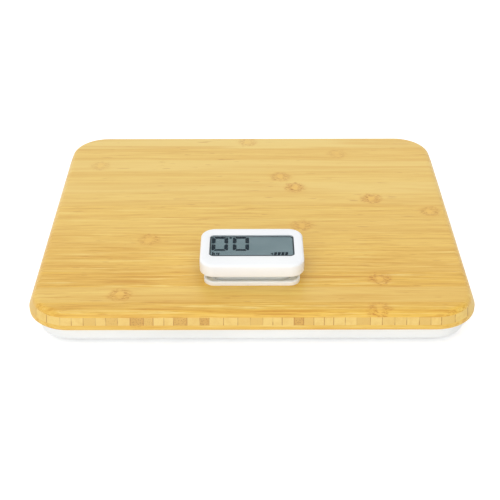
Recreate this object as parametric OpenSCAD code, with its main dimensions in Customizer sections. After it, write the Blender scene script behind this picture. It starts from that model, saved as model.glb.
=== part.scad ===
// Bamboo bathroom scale that is powered by pressing its display head.
// Millimetres. The floor is z = 0, +X is the right and -Y is the front, where the display head stands.

/* [Bamboo platform] */
// Width of the platform, left to right
board_w = 300; // [260:1:360]
// Depth of the platform, front to back
board_d = 260; // [230:1:320]
// Radius of the platform's corners in plan
board_r = 29.6; // [26:0.1:40]
// Thickness of the top and bottom plies
ply_t = 3.6; // [2.8:0.1:4.6]
// Thickness of the core between them
core_t = 4.8; // [4:0.1:6]
// How far the top face is drawn in by the sloping edge
edge_in = 3.8; // [1:0.1:6]
// Height over which the edge slopes
edge_h = 9.2; // [4:0.1:9.4]

/* [Base tray] */
// How far the tray stays inside the platform's outline
tray_in = 6; // [4:0.5:10]
// Height of the tray, from its underside to the platform
tray_h = 13; // [13:0.1:16]
// Thickness of the tray's walls
tray_wall = 2; // [1.5:0.1:3]
// Thickness of the tray's floor
tray_floor = 2; // [1.8:0.1:2.2]
// Radius of the tray's lower edge
tray_round = 3; // [1:0.5:4]
// Thickness of the ribs on the tray's floor
rib_t = 1.6; // [1:0.1:3]
// Height of the ribs above the tray's floor
rib_h = 7; // [4:0.5:9]

/* [Feet and load cells] */
// How far the tray stands off the floor
foot_proud = 3; // [2.6:0.1:4]
// Diameter of each foot
foot_d = 34; // [30:0.5:35]
// Distance from the tray's side to each foot's centre
foot_in_x = 28; // [26:0.5:34]
// Distance from the tray's front or back to each foot's centre
foot_in_y = 24; // [23:0.5:30]
// Thickness of the rubber pads
pad_t = 2; // [1.5:0.1:2.4]
// Side of each load cell's square steel plate
cell_w = 34; // [32:0.5:35]
// Thickness of the steel plate
cell_t = 1.5; // [1:0.1:2]
// How far a foot moves up under the full load
cell_travel = 0.5; // [0.2:0.1:0.6]
// Diameter of the wires from the load cells
wire_d = 1.6; // [1:0.1:2]

/* [Display head] */
// Width of the head
head_w = 70.4; // [70:0.1:76]
// Depth of the head, front to back
head_d = 48; // [47.6:0.1:54]
// Height of the head's shell
head_h = 9.2; // [9:0.1:12]
// Radius of the head's corners in plan
head_r = 10; // [9:0.5:12]
// Rounding of the head's top edge
head_round = 1.8; // [0.5:0.1:2.5]
// Thickness of the head's skirt
skirt_t = 2; // [1.4:0.1:2.1]
// Thickness of the head's top
roof_t = 1.3; // [1.2:0.1:1.6]
// Distance from the platform's front edge to the head's centre
head_from_front = 55; // [50:1:70]
// How far the head goes down when it is pressed
stroke = 8; // [4:0.1:8]
// Gap left above the platform when the head is down
down_gap = 0.8; // [0.5:0.1:2]
// Width of the display window
window_w = 57.4; // [46:0.1:57.6]
// Depth of the display window
window_d = 26.7; // [20:0.1:27]
// Distance from the head's centre back to the window's centre
window_back = 1.5; // [0:0.1:1.6]
// Thickness of the window
window_t = 0.8; // [0.6:0.1:0.9]

/* [Collar] */
// Gap all round between the head's skirt and the collar
collar_gap = 0.7; // [0.4:0.1:0.8]
// Height of the collar's rim above the platform
collar_rise = 3.2; // [2.4:0.1:3.4]
// Width of the rim
rim_t = 1.8; // [1:0.1:2]
// Depth of the well inside the rim
well_depth = 2.2; // [0.5:0.1:2.2]
// Width of the platform's cut-out for the mechanism
cut_w = 59; // [58.6:0.1:60]
// Depth of the cut-out
cut_d = 37; // [36.6:0.1:38]

/* [Mechanism] */
// Width of the head's stem
stem_w = 54.4; // [54.2:0.1:54.6]
// Depth of the stem
stem_d = 32.4; // [32.2:0.1:32.6]
// Thickness of the stem's walls
stem_t = 1.4; // [1:0.1:1.5]
// Gap all round between the stem and the collar
stem_gap = 0.3; // [0.15:0.05:0.4]
// Module of the rack's teeth
rack_m = 0.6; // [0.5:0.05:0.6]
// Teeth of the pinion that the rack drives
pinion_teeth = 14; // [12:2:14]
// Module of the gears
gear_m = 0.5; // [0.4:0.05:0.5]
// Teeth of the two large gears
wheel_teeth = 34; // [30:2:34]
// Teeth of the two small gears
small_teeth = 12; // [10:2:12]
// Width of the teeth of the large gears
face_t = 1.6; // [1:0.1:2]
// Diameter of the gear axles and the rotor's shaft
axle_d = 1.5; // [1:0.1:2]
// Diameter of the two guide posts
post_d = 4; // [3:0.1:4.2]
// Diameter of the generator
gen_d = 17; // [14:0.5:17]
// Length of the generator
gen_l = 11; // [8:0.5:14]
// Wire of the return springs
spring_wire = 0.7; // [0.4:0.05:0.8]
// Mean diameter of the return springs
spring_d = 5.5; // [5.4:0.1:5.8]
// Turns of each return spring
spring_turns = 7; // [5:1:8]

/* [Fits] */
// Radial clearance where one piece turns or slides in another
run_gap = 0.04; // [0.02:0.01:0.1]
// Radial clearance round fixed pins and screws
seat_gap = 0.03; // [0.01:0.01:0.1]
// Gap round plates that drop into a recess
drop_gap = 0.15; // [0.1:0.05:0.2]

/* [Hidden] */
$fn = 64;
bend_steps = 4;

// Heights of the stack, from the floor up
tray_z = foot_proud;
inside_z = tray_z + tray_floor;
board_z = tray_z + tray_h;
core_z = board_z + ply_t;
top_ply_z = core_z + core_t;
deck_z = top_ply_z + ply_t;
slope_z = deck_z - edge_h;
rim_z = deck_z + collar_rise;
well_z = rim_z - well_depth;
head_z = deck_z + down_gap + stroke;
head_top = head_z + head_h;
roof_z = head_top - roof_t;
board_round = 0.5;

// Tray outline and the feet's places
tray_w = board_w - 2 * tray_in;
tray_d = board_d - 2 * tray_in;
tray_r = board_r - tray_in;
foot_x = tray_w / 2 - foot_in_x;
foot_y = tray_d / 2 - foot_in_y;

// Load cell pocket: the foot's recess, the ledge, the plate and the clamp above it
recess_gap = 1;
recess_depth = 2;
recess_z = tray_z + recess_depth;
shelf_t = 2.5;
ledge_z = recess_z + shelf_t;
plate_top = ledge_z + cell_t;
pocket_wall = 2.5;
pocket_h = 3.5;
pocket_w = cell_w + 2 * (drop_gap + pocket_wall);
pocket_r = 5;
plate_r = pocket_r - 1;
cell_bar = 6;
cell_open = cell_w - 2 * cell_bar;
tongue_w = 16;
tongue_slot = 2;
cup_top = recess_z - cell_travel - 0.1;
cup_rim = 2.5;
plug_t = 0.6;
boss_d = 10;
stake_d = 3;
stake_head_d = 4.6;
stake_head_h = 0.8;
stake_gap = 0.05;
gauge_w = 6;
gauge_t = 1.2;
wire_z = inside_z + wire_d / 2 + 0.15;
wire_notch = wire_d + 1.4;

// Screws that hold the tray to the platform, and the ribs that they stand on
base_screw_d = 3.5;
base_head_d = 7;
base_head_h = 2.2;
head_gap = 0.4;
slot_share = 0.6;
base_screw_l = 14;
base_boss_d = 11;
base_head_z = board_z - 6;
rib_low = tray_z + 1;
rib_x = foot_x - cell_w / 2 - 11;
rib_back = tray_d / 2 - 54;
rib_mid = rib_back - 50;
screw_in = 16;
side_screw_in = 10;
mid_screw_x = 50;
screw_places = [[rib_x, tray_d / 2 - screw_in], [rib_x, screw_in - tray_d / 2],
    [tray_w / 2 - side_screw_in, 0], [mid_screw_x, rib_mid]];

// Collar and the opening for the stem
head_y = head_from_front - board_d / 2;
collar_w = head_w - 2 * (skirt_t + collar_gap);
collar_d = head_d - 2 * (skirt_t + collar_gap);
collar_r = head_r - skirt_t - collar_gap;
collar_round = 0.8;
stem_r = 8.7;
hole_w = stem_w + 2 * stem_gap;
hole_d = stem_d + 2 * stem_gap;
cut_r = 3;
cut_gap = 0.2;
sleeve_w = cut_w - 2 * cut_gap;
sleeve_d = cut_d - 2 * cut_gap;
sleeve_r = cut_r - cut_gap;
sleeve_z = board_z + 0.2;
case_screw_d = 2;
case_head_d = 3.8;
case_head_h = 1.4;
case_screw_x = sleeve_w / 2 - sleeve_r;
case_screw_y = sleeve_d / 2 - sleeve_r;
case_screw_top = deck_z - 2;

// Gear case and train, with x and y measured from the head's centre
flange_t = 2.6;
flange_over = 5.5;
flange_r = 6;
flange_z = board_z - flange_t;
case_bottom = inside_z + 0.9;
case_w = stem_w - 2 * stem_t - 2.4;
case_d = stem_d - 2 * stem_t - 4.4;
case_r = 4;
case_t = 1.2;
case_roof_t = 1;
floor_top = case_bottom + case_t;
wheel_r = gear_m * wheel_teeth / 2;
small_r = gear_m * small_teeth / 2;
pinion_r = rack_m * pinion_teeth / 2;
tip = 0.85;
root = 1.25;
backlash = 0.1;
pressure = 20;
wheel_tip = wheel_r + gear_m * tip;
tip_gap = 0.5;
train_z = floor_top + tip_gap + wheel_tip;
roof_under = train_z + wheel_tip + tip_gap;
case_top = roof_under + case_roof_t;
first_x = case_t + tip_gap + wheel_tip - case_w / 2;
second_x = first_x + wheel_r + small_r;
rotor_x = second_x + wheel_r + small_r;
layer_gap = 0.4;
end_play = 0.15;
cover_y = case_t - case_d / 2;
rack_t = 2.4;
rack_y = cover_y + 0.5;
first_y = rack_y + rack_t + 0.3;
second_y = first_y + face_t + layer_gap;
wall_y = second_y + face_t + layer_gap;
gen_y = wall_y + case_t;
gen_end = gen_y + gen_l;
hub_d = axle_d + 1.9;
cavity_right = rotor_x + small_r + gear_m * tip + 1.6;

// Rack and the ceiling of the stem that carries it
rack_x = first_x - pinion_r;
rack_back = rack_x - 3.3;
rack_low = train_z - 1.6 * PI * rack_m;
rack_teeth_top = train_z + stroke + 1.6 * PI * rack_m;
rack_gap = 0.4;
foot_plate_t = 1.3;
foot_plate_l = 10;
foot_plate_w = 4.6;
ceiling_t = 1.2;
ceiling_z = case_top + stroke + 2.2;
ceiling_top = ceiling_z + ceiling_t;

// Guide posts, their stops and the springs round them
post_x = case_w / 2 - 4.2;
post_y = case_d / 2 - 4;
column_d = 9;
column_bore = 7;
guide_low = case_bottom + stroke + 3.1;
guide_top = guide_low + 5;
post_low = guide_low - 0.05;
post_boss_d = 7;
post_top = ceiling_top + 0.8;
stop_d = 6.2;
stop_t = 0.7;
stop_head_d = 4;
stop_head_h = 1.4;
stop_screw_d = 2;
stop_screw_l = 6;
spring_low = guide_top + spring_wire / 2 + 0.05;
spring_high = ceiling_z - spring_wire / 2 - 0.05;

// Small countersunk screws
small_screw_d = 1.6;
small_head_d = 3;
small_head_h = 0.7;
cover_screw_x = [first_x + pinion_r + 2.6, cavity_right - 1.9];
cover_screw_z = [floor_top + 1.2, roof_under - 1.2];
cover_boss_d = 3.4;
rack_screw_y = [rack_y + 5.2, rack_y + 8.4];
rack_screw_x = rack_back - 0.5 + foot_plate_w / 2;

// Inside of the head
cover_gap = 0.2;
cover_t = 1.2;
cover_z = rim_z + stroke + 0.8;
cover_top = cover_z + cover_t;
stem_low = board_z + stroke + 0.5;
shell_round = 0.5;
window_r = 3;
window_low = roof_z + 0.2;
gasket_w = 0.7;
lcd_t = 1.8;
lcd_over = 0.8;
lcd_z = roof_z - lcd_t;
lcd_rib_t = 1.6;
lcd_rib_l = 20;
strip_w = 2;
strip_l = 40;
strip_y = 6.5;
head_board_t = 0.8;
head_board_z = ceiling_top + 1.2;
head_board_top = head_board_z + head_board_t;
head_board_w = stem_w - 2 * stem_t - 2.4;
head_board_d = stem_d - 2 * stem_t - 3.6;
head_board_r = 5;
head_ledge = 2.4;
head_ledge_l = 8;
driver_w = 7;
driver_t = 0.9;
head_screw_x = collar_w / 2 - 2.3;
head_screw_y = collar_d / 2 - 3.2;
head_boss_d = 4.4;

// Generator, outwards from its shaft
can_t = 0.5;
can_in = gen_d / 2 - can_t;
magnet_r = 4.2;
pole_r = magnet_r + 0.4;
pole_t = 0.6;
poles = 12;
spool_r = pole_r + pole_t + seat_gap;
spool_t = 0.5;
inner_y = gen_y + 0.6;
plate_y = gen_end - can_t - 0.6;

// Main board on the tray's floor behind the mechanism
main_w = 64;
main_d = 36;
main_t = 1.2;
main_y = head_y + 43;
main_z = inside_z + 3;
main_top = main_z + main_t;
main_post_d = 5;
main_screw_x = main_w / 2 - 4;
main_screw_y = main_d / 2 - 4;
main_screw_l = 3.6;
plug_l = 5;
plug_w = 6;
plug_h = 3.2;
plug_y = [main_y - 7, main_y + 7];
chip_t = 1;
// Each chip and diode as x and y from the board's middle, width and depth
chips = concat([[12, 0, 9, 9], [14, 11, 6, 5]], [for (k = [0:3]) [4 * k - 14, -8, 2, 4]]);
cap_d = 6;
cap_l = 16;
cap_x = -14;
cap_y = main_y + 11;
lead_d = 0.6;

// Leads of the generator and the flat cable between the two boards
lead_x = 2.5;
lead_w = 1.2;
front_plug_y = main_y - main_d / 2 + 1;
front_plug_d = 3;
lead_plug_w = 2.6;
flex_x = 10;
flex_w = 10;
flex_t = 0.2;
flex_r = 1.6;
flex_y = stem_d / 2 - stem_t - 1.1;
flex_slot = 1.4;
flex_gap = 0.5;
flex_low = main_top + 0.9;
head_plug_y = 10;
head_plug_d = 2.4;
plug_over = 1;
flex_plug_h = 1.8;
head_plug_h = 1.5;
flex_high = head_board_top + 0.7;

function arc(n) = [for (i = [0:n]) 90 * i / n];
function top_edge(f, z) = [for (t = arc(bend_steps)) [f * (1 - cos(t)), z - f * (1 - sin(t))]];
function bottom_edge(f, z) = [for (t = arc(bend_steps)) [f * (1 - sin(t)), z + f * (1 - cos(t))]];
function inset(z) = edge_in * max(0, z - slope_z) / edge_h;
function slope(z0, z1) = concat([[inset(z0), z0]],
    slope_z > z0 && slope_z < z1 ? [[0, slope_z]] : [], [[inset(z1), z1]]);
function backwards(list) = [for (i = [len(list) - 1:-1:0]) list[i]];

// Direction of a route at one of its points
function heading(p, i) =
    let (a = p[max(i - 1, 0)], b = p[min(i + 1, len(p) - 1)]) (b - a) / norm(b - a);
function bend(a, b, c, r) = let (u = (a - b) / norm(a - b), v = (c - b) / norm(c - b))
    [for (t = [0:0.25:1]) b + r * ((1 - t) * (1 - t) * u + t * t * v)];
function rounded_route(p, r) = concat([p[0]],
    [for (i = [1:len(p) - 2]) each bend(p[i - 1], p[i], p[i + 1], r)], [p[len(p) - 1]]);

// Rings of flat-sided tubes and the triangles between them
function ring(p, i, r, n) =
    let (t = heading(p, i), s = cross(t, [0, 0, 1]) / norm(cross(t, [0, 0, 1])), u = cross(s, t))
    [for (k = [0:n - 1]) p[i] + r * (cos(360 * k / n) * s + sin(360 * k / n) * u)];
function ring_faces(i, n) = [for (k = [0:n - 1], half = [0, 1]) let (m = (k + 1) % n)
    half == 0 ? [i * n + k, i * n + n + k, i * n + m] : [i * n + m, i * n + n + k, i * n + n + m]];

// Involute gear teeth, with angles in degrees
function involute(a) = tan(a) * 180 / PI - a;
function half_tooth(r, base, pitch, thick) = (r < base ? 0.8 : 1)
    * (thick / pitch * 90 / PI + involute(acos(base / pitch)) - involute(acos(min(1, base / r))));
function flank(middle, side, radii, base, pitch, thick) = [for (r = radii)
    let (a = middle + side * half_tooth(r, base, pitch, thick)) r * [cos(a), sin(a)]];

// Rounded rectangle in plan
module outline(w, d, r) {
    square([w - 2 * r, d], center = true);
    square([w, d - 2 * r], center = true);
    four(w / 2 - r, d / 2 - r) circle(r);
}

// Straight block with rounded corners between two heights
module block(w, d, r, z0, z1) {
    translate([0, 0, z0]) linear_extrude(z1 - z0) outline(w, d, r);
}

// Cross-section of a shaped block of the given half width
module section(half, edge) {
    polygon(concat([for (p = edge) [half - p[0], p[1]]], [for (p = backwards(edge)) [p[0] - half, p[1]]]));
}

// Block whose edge follows a profile of inset and height, listed upwards
module shaped(w, d, r, edge) {
    low = edge[0][1];
    high = edge[len(edge) - 1][1];
    four(w / 2 - r, d / 2 - r)
        rotate_extrude() polygon(concat([[0, low]], [for (p = edge) [r - p[0], p[1]]], [[0, high]]));
    rotate([90, 0, 90]) linear_extrude(w - 2 * r, center = true) section(d / 2, edge);
    rotate([90, 0, 0]) linear_extrude(d - 2 * r, center = true) section(w / 2, edge);
}

// Round bar between two heights
module bar(d, z0, z1) {
    translate([0, 0, z0]) cylinder(d = d, h = z1 - z0);
}

// Round bar along Y between two depths, at the height z
module bar_y(d, y0, y1, x = 0, z = train_z) {
    translate([x, y0, z]) rotate([-90, 0, 0]) cylinder(d = d, h = y1 - y0);
}

// Box given by its low corner and its high corner
module box(low, high) {
    translate(low) cube(high - low);
}

module four(x, y) {
    for (i = [-1, 1], j = [-1, 1]) translate([i * x, j * y, 0]) children();
}

module at_head() {
    translate([0, head_y, 0]) children();
}

// Places the pieces of the corner given by two signs, with their local +X pointing outwards
module at_corner(i, j) {
    translate([i * foot_x, j * foot_y, 0]) mirror([i < 0 ? 1 : 0, 0, 0]) children();
}

module at_corners() {
    for (i = [-1, 1], j = [-1, 1]) at_corner(i, j) children();
}

module at_base_screws() {
    for (p = screw_places, i = [-1, 1]) translate([i * p[0], p[1], 0]) children();
}

// Posts stand at the front right and back left of the gear case
module at_posts() {
    for (i = [-1, 1]) translate([i * post_x, -i * post_y, 0]) children();
}

// Countersunk screw with its face at z = 0, pointing up
module sunk_screw(l, gap = 0) {
    cylinder(d1 = small_head_d + 2 * gap, d2 = small_screw_d + 2 * gap, h = small_head_h + gap);
    cylinder(d = small_screw_d + 2 * gap, h = l);
}

// Cross recess of a screw, cut upwards from z = 0
module cross_slot(w, h) {
    for (a = [0, 90]) rotate(a) translate([-w / 2, -w / 10, 0]) cube([w, w / 5, h]);
}

// Tube of n flat sides swept along the points p
module tube(p, r, n) {
    last = (len(p) - 1) * n;
    polyhedron(
        points = [for (i = [0:len(p) - 1]) each ring(p, i, r, n)],
        faces = concat(
            [for (i = [0:len(p) - 2]) each ring_faces(i, n)],
            [for (k = [1:n - 2]) [0, k, k + 1]],
            [for (k = [1:n - 2]) [last, last + k + 1, last + k]]));
}

// Gear in the XZ plane, from the depth y backwards
module gear_at(y, m, n, thick, phase) {
    pitch = m * n / 2;
    base = pitch * cos(pressure);
    low = pitch - root * m;
    start = max(base + 0.001, low);
    high = pitch + tip * m;
    radii = concat(low < base ? [low] : [], [for (t = [0:0.25:1]) start + t * (high - start)]);
    thick_at_pitch = PI * m / 2 - backlash;
    translate([0, y + thick, 0]) rotate([90, 0, 0]) linear_extrude(thick)
        polygon([for (i = [0:n - 1], side = [-1, 1]) let (list = side < 0 ? radii : backwards(radii))
            each flank(360 * i / n + phase, side, list, base, pitch, thick_at_pitch)]);
}

module ply(z0, z1, edge) {
    difference() {
        shaped(board_w, board_d, board_r, edge);
        at_head() block(cut_w, cut_d, cut_r, z0 - 1, z1 + 1);
        at_base_screws() bar(base_screw_d + 2 * seat_gap, base_head_z, base_head_z + base_screw_l + drop_gap);
    }
}

module platform_top_ply() {
    color("burlywood") ply(top_ply_z, deck_z, slope(top_ply_z, deck_z));
}

module platform_core() {
    color("wheat") ply(core_z, top_ply_z, slope(core_z, top_ply_z));
}

module platform_bottom_ply() {
    above = [for (p = slope(board_z, core_z)) if (p[1] > board_z + board_round) p];
    color("burlywood") ply(board_z, core_z, concat(bottom_edge(board_round, board_z), above));
}

module base_tray() {
    inner_w = tray_w - 2 * tray_wall;
    inner_d = tray_d - 2 * tray_wall;
    color("white") difference() {
        union() {
            difference() {
                shaped(tray_w, tray_d, tray_r, concat(bottom_edge(tray_round, tray_z), [[0, board_z]]));
                block(inner_w, inner_d, tray_r - tray_wall, inside_z, board_z + 1);
            }
            at_corners() block(pocket_w, pocket_w, pocket_r, rib_low, ledge_z + pocket_h);
            tray_ribs();
            at_base_screws() bar(base_boss_d, rib_low, board_z);
            translate([0, main_y, 0]) four(main_screw_x, main_screw_y) bar(main_post_d, rib_low, main_z);
        }
        at_corners() cell_pocket();
        at_base_screws() {
            bar(base_head_d + 2 * head_gap, tray_z - 1, base_head_z);
            bar(base_screw_d + 2 * seat_gap, base_head_z - 1, board_z + 1);
        }
        translate([0, main_y, 0]) four(main_screw_x, main_screw_y)
            bar(case_screw_d + 2 * seat_gap, inside_z - 0.5, main_z + 1);
        wire_slots();
    }
}

// Ribs that stiffen the tray's floor
module tray_ribs() {
    high = inside_z + rib_h;
    end = tray_d / 2 - tray_wall;
    for (y = [rib_back, rib_mid]) box([-rib_x, y - rib_t / 2, rib_low], [rib_x, y + rib_t / 2, high]);
    for (x = [-rib_x, rib_x]) box([x - rib_t / 2, -end, rib_low], [x + rib_t / 2, end, high]);
}

// Hollow of one load cell's pocket, cut from the tray
module cell_pocket() {
    slot = cell_w / 2 + pocket_wall + 2;
    bar(foot_d + 2 * recess_gap, tray_z - 1, recess_z);
    block(cell_open, cell_open, pocket_r / 2, recess_z - 1, ledge_z + 1);
    block(cell_w + 2 * drop_gap, cell_w + 2 * drop_gap, plate_r, ledge_z, board_z + 1);
    box([-slot, -wire_notch / 2, plate_top], [0, wire_notch / 2, board_z]);
}

// Notches that let the wires cross the side ribs
module wire_slots() {
    for (x = [-rib_x, rib_x], y = plug_y)
        box([x - rib_t, y - wire_notch / 2, inside_z], [x + rib_t, y + wire_notch / 2, board_z]);
}

module base_screws() {
    low = base_head_z - base_head_h;
    color("silver") at_base_screws() difference() {
        union() {
            bar(base_head_d, low, base_head_z);
            bar(base_screw_d, low, base_head_z + base_screw_l);
        }
        translate([0, 0, low - 1]) cross_slot(base_head_d * slot_share, 2);
    }
}

// Spring steel plate with a tongue cut free on three sides
module load_cell() {
    color("lightsteelblue") difference() {
        block(cell_w, cell_w, plate_r, ledge_z, plate_top);
        difference() {
            block(cell_open, cell_open, pocket_r / 2, ledge_z - 1, plate_top + 1);
            box([-cell_w / 2, -tongue_w / 2, 0], [cell_open / 2 - tongue_slot, tongue_w / 2, board_z]);
        }
        bar(stake_d + 0.4, ledge_z - 1, plate_top + 1);
    }
}

// Frame that holds the plate down and carries the platform
module cell_clamp() {
    color("whitesmoke") difference() {
        block(cell_w, cell_w, plate_r, plate_top, board_z);
        block(cell_open + 1, cell_open + 1, pocket_r / 2, plate_top - 1, board_z + 1);
        box([-cell_w, -wire_notch / 2, plate_top - 1], [0, wire_notch / 2, plate_top + wire_notch]);
    }
}

module foot_cup() {
    color("white") {
        difference() {
            bar(foot_d, pad_t, cup_top);
            bar(foot_d - 2 * cup_rim, pad_t - 1, pad_t + plug_t);
        }
        bar(boss_d, cup_top - 0.5, ledge_z);
        bar(stake_d, ledge_z - 1, plate_top + stake_gap + 0.5);
        bar(stake_head_d, plate_top + stake_gap, plate_top + stake_gap + stake_head_h);
    }
}

module foot_pad() {
    edge = bottom_edge(0.4, 0);
    color("dimgray") {
        rotate_extrude() polygon(concat([[0, 0]], [for (p = edge) [foot_d / 2 - p[0], p[1]]],
            [[foot_d / 2, pad_t], [0, pad_t]]));
        bar(foot_d - 2 * cup_rim - 2 * drop_gap, pad_t - 0.5, pad_t + plug_t);
    }
}

module strain_gauges() {
    inner = -cell_open / 2 + 0.5;
    color("ghostwhite") at_corners()
        box([inner, -gauge_w / 2, plate_top], [inner + gauge_w, gauge_w / 2, plate_top + gauge_t]);
}

// Wires of one load cell, from its gauge to the main board
module cell_cable(i, j) {
    lead_z = plate_top + wire_d / 2 + 0.1;
    run_x = rib_x + rib_t / 2 + wire_d / 2 + 2.5;
    end_y = plug_y[j < 0 ? 0 : 1];
    end_z = main_top + plug_h / 2;
    route = [[foot_x - cell_open / 2 + 0.3, foot_y * j, lead_z],
        [foot_x - pocket_w / 2 - 1.4, foot_y * j, lead_z],
        [run_x, foot_y * j, wire_z], [run_x, end_y, wire_z], [main_w / 2 + 9, end_y, wire_z],
        [main_w / 2 + 4, end_y, end_z], [main_w / 2 + 0.3, end_y, end_z]];
    color("dimgray") mirror([i < 0 ? 1 : 0, 0, 0]) tube(rounded_route(route, 1.8), wire_d / 2, 8);
}

module collar() {
    color("white") at_head() difference() {
        union() {
            shaped(collar_w, collar_d, collar_r, concat([[0, deck_z]], top_edge(collar_round, rim_z)));
            block(sleeve_w, sleeve_d, sleeve_r, sleeve_z, well_z - 0.4);
        }
        block(collar_w - 2 * rim_t, collar_d - 2 * rim_t, collar_r - rim_t, well_z, rim_z + 1);
        block(hole_w, hole_d, stem_r + stem_gap, board_z, rim_z + 1);
        four(case_screw_x, case_screw_y) bar(case_screw_d + 2 * seat_gap, board_z, case_screw_top + 0.4);
    }
}

module collar_screws() {
    low = flange_z - case_head_h;
    color("silver") at_head() four(case_screw_x, case_screw_y) difference() {
        union() {
            bar(case_head_d, low, flange_z);
            bar(case_screw_d, low, case_screw_top);
        }
        translate([0, 0, low - 1]) cross_slot(case_head_d * slot_share, 1.6);
    }
}

// Front slice of the gear case's block, where the cover fits
module cover_space(gap) {
    box([-case_w / 2, -case_d / 2, 0], [post_x - column_d / 2 - gap, cover_y, head_top]);
}

module gear_case() {
    color("lightgray") at_head() difference() {
        union() {
            block(case_w, case_d, case_r, case_bottom, case_top);
            at_posts() bar(column_d, case_bottom, case_top);
            case_flange();
        }
        difference() {
            union() {
                cover_space(0);
                gear_cavity();
            }
            at_posts() bar(column_d, 0, head_top);
            for (x = cover_screw_x, z = cover_screw_z) bar_y(cover_boss_d, cover_y, first_y - 0.3, x, z);
        }
        generator_bay();
        at_posts() {
            bar(column_bore, 0, guide_low);
            bar(post_d + 2 * run_gap, 0, head_top);
            bar(column_bore, guide_top, head_top);
        }
        rack_slot();
        four(case_screw_x, case_screw_y) bar(case_screw_d + 0.4, 0, head_top);
        box([flex_x - flex_w / 2 - flex_gap, flex_y - flex_slot / 2, flange_z - 1],
            [flex_x + flex_w / 2 + flex_gap, flex_y + flex_slot / 2, head_top]);
        gear_bores();
        for (x = cover_screw_x, z = cover_screw_z)
            bar_y(small_screw_d + 2 * seat_gap, cover_y - 1, first_y - 0.6, x, z);
    }
}

// Flange that clamps the platform, open at the front for the cover
module case_flange() {
    w = cut_w + 2 * flange_over;
    d = cut_d + 2 * flange_over;
    difference() {
        block(w, d, flange_r, flange_z, board_z);
        box([-case_w / 2, -d, flange_z - 1], [case_w / 2, -case_d / 2, board_z + 1]);
    }
}

// Room for the gears between the cover and the bearing wall
module gear_cavity() {
    intersection() {
        block(case_w - 2 * case_t, case_d, case_r - case_t, floor_top, roof_under);
        box([-case_w, -case_d, 0], [cavity_right, wall_y, head_top]);
    }
}

// Room behind the bearing wall, open to the back, with a ring that seats the generator
module generator_bay() {
    difference() {
        box([-post_x + column_d / 2 + 1.4, gen_y, floor_top], [rotor_x + gen_d / 2 + 1, case_d, roof_under]);
        difference() {
            bar_y(gen_d + 1.4, gen_y - 1, gen_y + 1.4, rotor_x);
            bar_y(gen_d + 2 * seat_gap, gen_y - 2, gen_y + 2, rotor_x);
        }
    }
}

// Way through the floor and the roof for the rack
module rack_slot() {
    for (z = [[0, floor_top + 1], [roof_under - 1, head_top]])
        box([rack_back - rack_gap, rack_y - rack_gap, z[0]],
            [rack_x + rack_m + rack_gap, rack_y + rack_t + rack_gap, z[1]]);
}

// Bores of the two axles and of the rotor's shaft
module gear_bores() {
    for (x = [first_x, second_x]) bar_y(axle_d + 2 * seat_gap, -case_d, gen_y + 1, x);
    bar_y(axle_d + 2 * run_gap, wall_y - 1, gen_y + 1, rotor_x);
}

module gear_cover() {
    color("gainsboro") at_head() difference() {
        intersection() {
            block(case_w, case_d, case_r, case_bottom, case_top);
            cover_space(drop_gap);
        }
        gear_bores();
        at_cover_screws() sunk_screw(cover_boss_d, seat_gap);
    }
}

module at_cover_screws() {
    for (x = cover_screw_x, z = cover_screw_z)
        translate([x, -case_d / 2, z]) rotate([-90, 0, 0]) children();
}

module gear_cover_screws() {
    color("silver") at_head() at_cover_screws() sunk_screw(first_y - 1 + case_d / 2);
}

module rack() {
    pitch = PI * rack_m;
    half = (pitch / 2 - backlash) / 2;
    slant = tan(pressure) * rack_m;
    inner = rack_x - root * rack_m;
    first = ceil((rack_low + pitch / 2 - train_z) / pitch);
    last = floor((rack_teeth_top - train_z) / pitch);
    top = ceiling_z - foot_plate_t;
    teeth = [for (k = [first:last]) let (z = train_z + k * pitch) each [
        [inner, z - half - root * slant], [rack_x + tip * rack_m, z - half + tip * slant],
        [rack_x + tip * rack_m, z + half - tip * slant], [inner, z + half + root * slant]]];
    color("ivory") at_head() difference() {
        union() {
            translate([0, rack_y + rack_t, 0]) rotate([90, 0, 0]) linear_extrude(rack_t)
                polygon(concat([[rack_back, top + 0.2], [rack_back, rack_low], [inner, rack_low]],
                    teeth, [[inner, top + 0.2]]));
            translate([rack_screw_x, rack_y + foot_plate_l / 2, 0])
                block(foot_plate_w, foot_plate_l, 0.5, top, ceiling_z);
        }
        for (y = rack_screw_y) translate([rack_screw_x, y, top]) sunk_screw(foot_plate_t + 1, seat_gap);
    }
}

module first_gear() {
    color("ivory") at_head() translate([first_x, 0, train_z]) difference() {
        union() {
            gear_at(rack_y, rack_m, pinion_teeth, first_y - rack_y + 0.2, 180 / pinion_teeth);
            gear_at(first_y, gear_m, wheel_teeth, face_t, 0);
            bar_y(hub_d, first_y, wall_y - end_play, 0, 0);
        }
        bar_y(axle_d + 2 * run_gap, -case_d, case_d, 0, 0);
    }
}

module second_gear() {
    color("ivory") at_head() translate([second_x, 0, train_z]) difference() {
        union() {
            bar_y(hub_d, cover_y + end_play, wall_y - end_play, 0, 0);
            gear_at(first_y - 0.1, gear_m, small_teeth, second_y - first_y + 0.2, 180 / small_teeth);
            gear_at(second_y, gear_m, wheel_teeth, face_t, 0);
        }
        bar_y(axle_d + 2 * run_gap, -case_d, case_d, 0, 0);
    }
}

module first_axle() {
    color("silver") at_head() bar_y(axle_d, -case_d / 2, gen_y, first_x);
}

module second_axle() {
    color("silver") at_head() bar_y(axle_d, -case_d / 2, gen_y, second_x);
}

module rotor_pinion() {
    color("goldenrod") at_head() translate([rotor_x, 0, train_z]) difference() {
        gear_at(second_y - 0.1, gear_m, small_teeth, wall_y - second_y - end_play + 0.1, 180 / small_teeth);
        bar_y(axle_d + 2 * seat_gap, -case_d, case_d, 0, 0);
    }
}

module rotor_shaft() {
    color("silver") at_head() bar_y(axle_d, second_y - 0.4, gen_end + 0.3, rotor_x);
}

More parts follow.
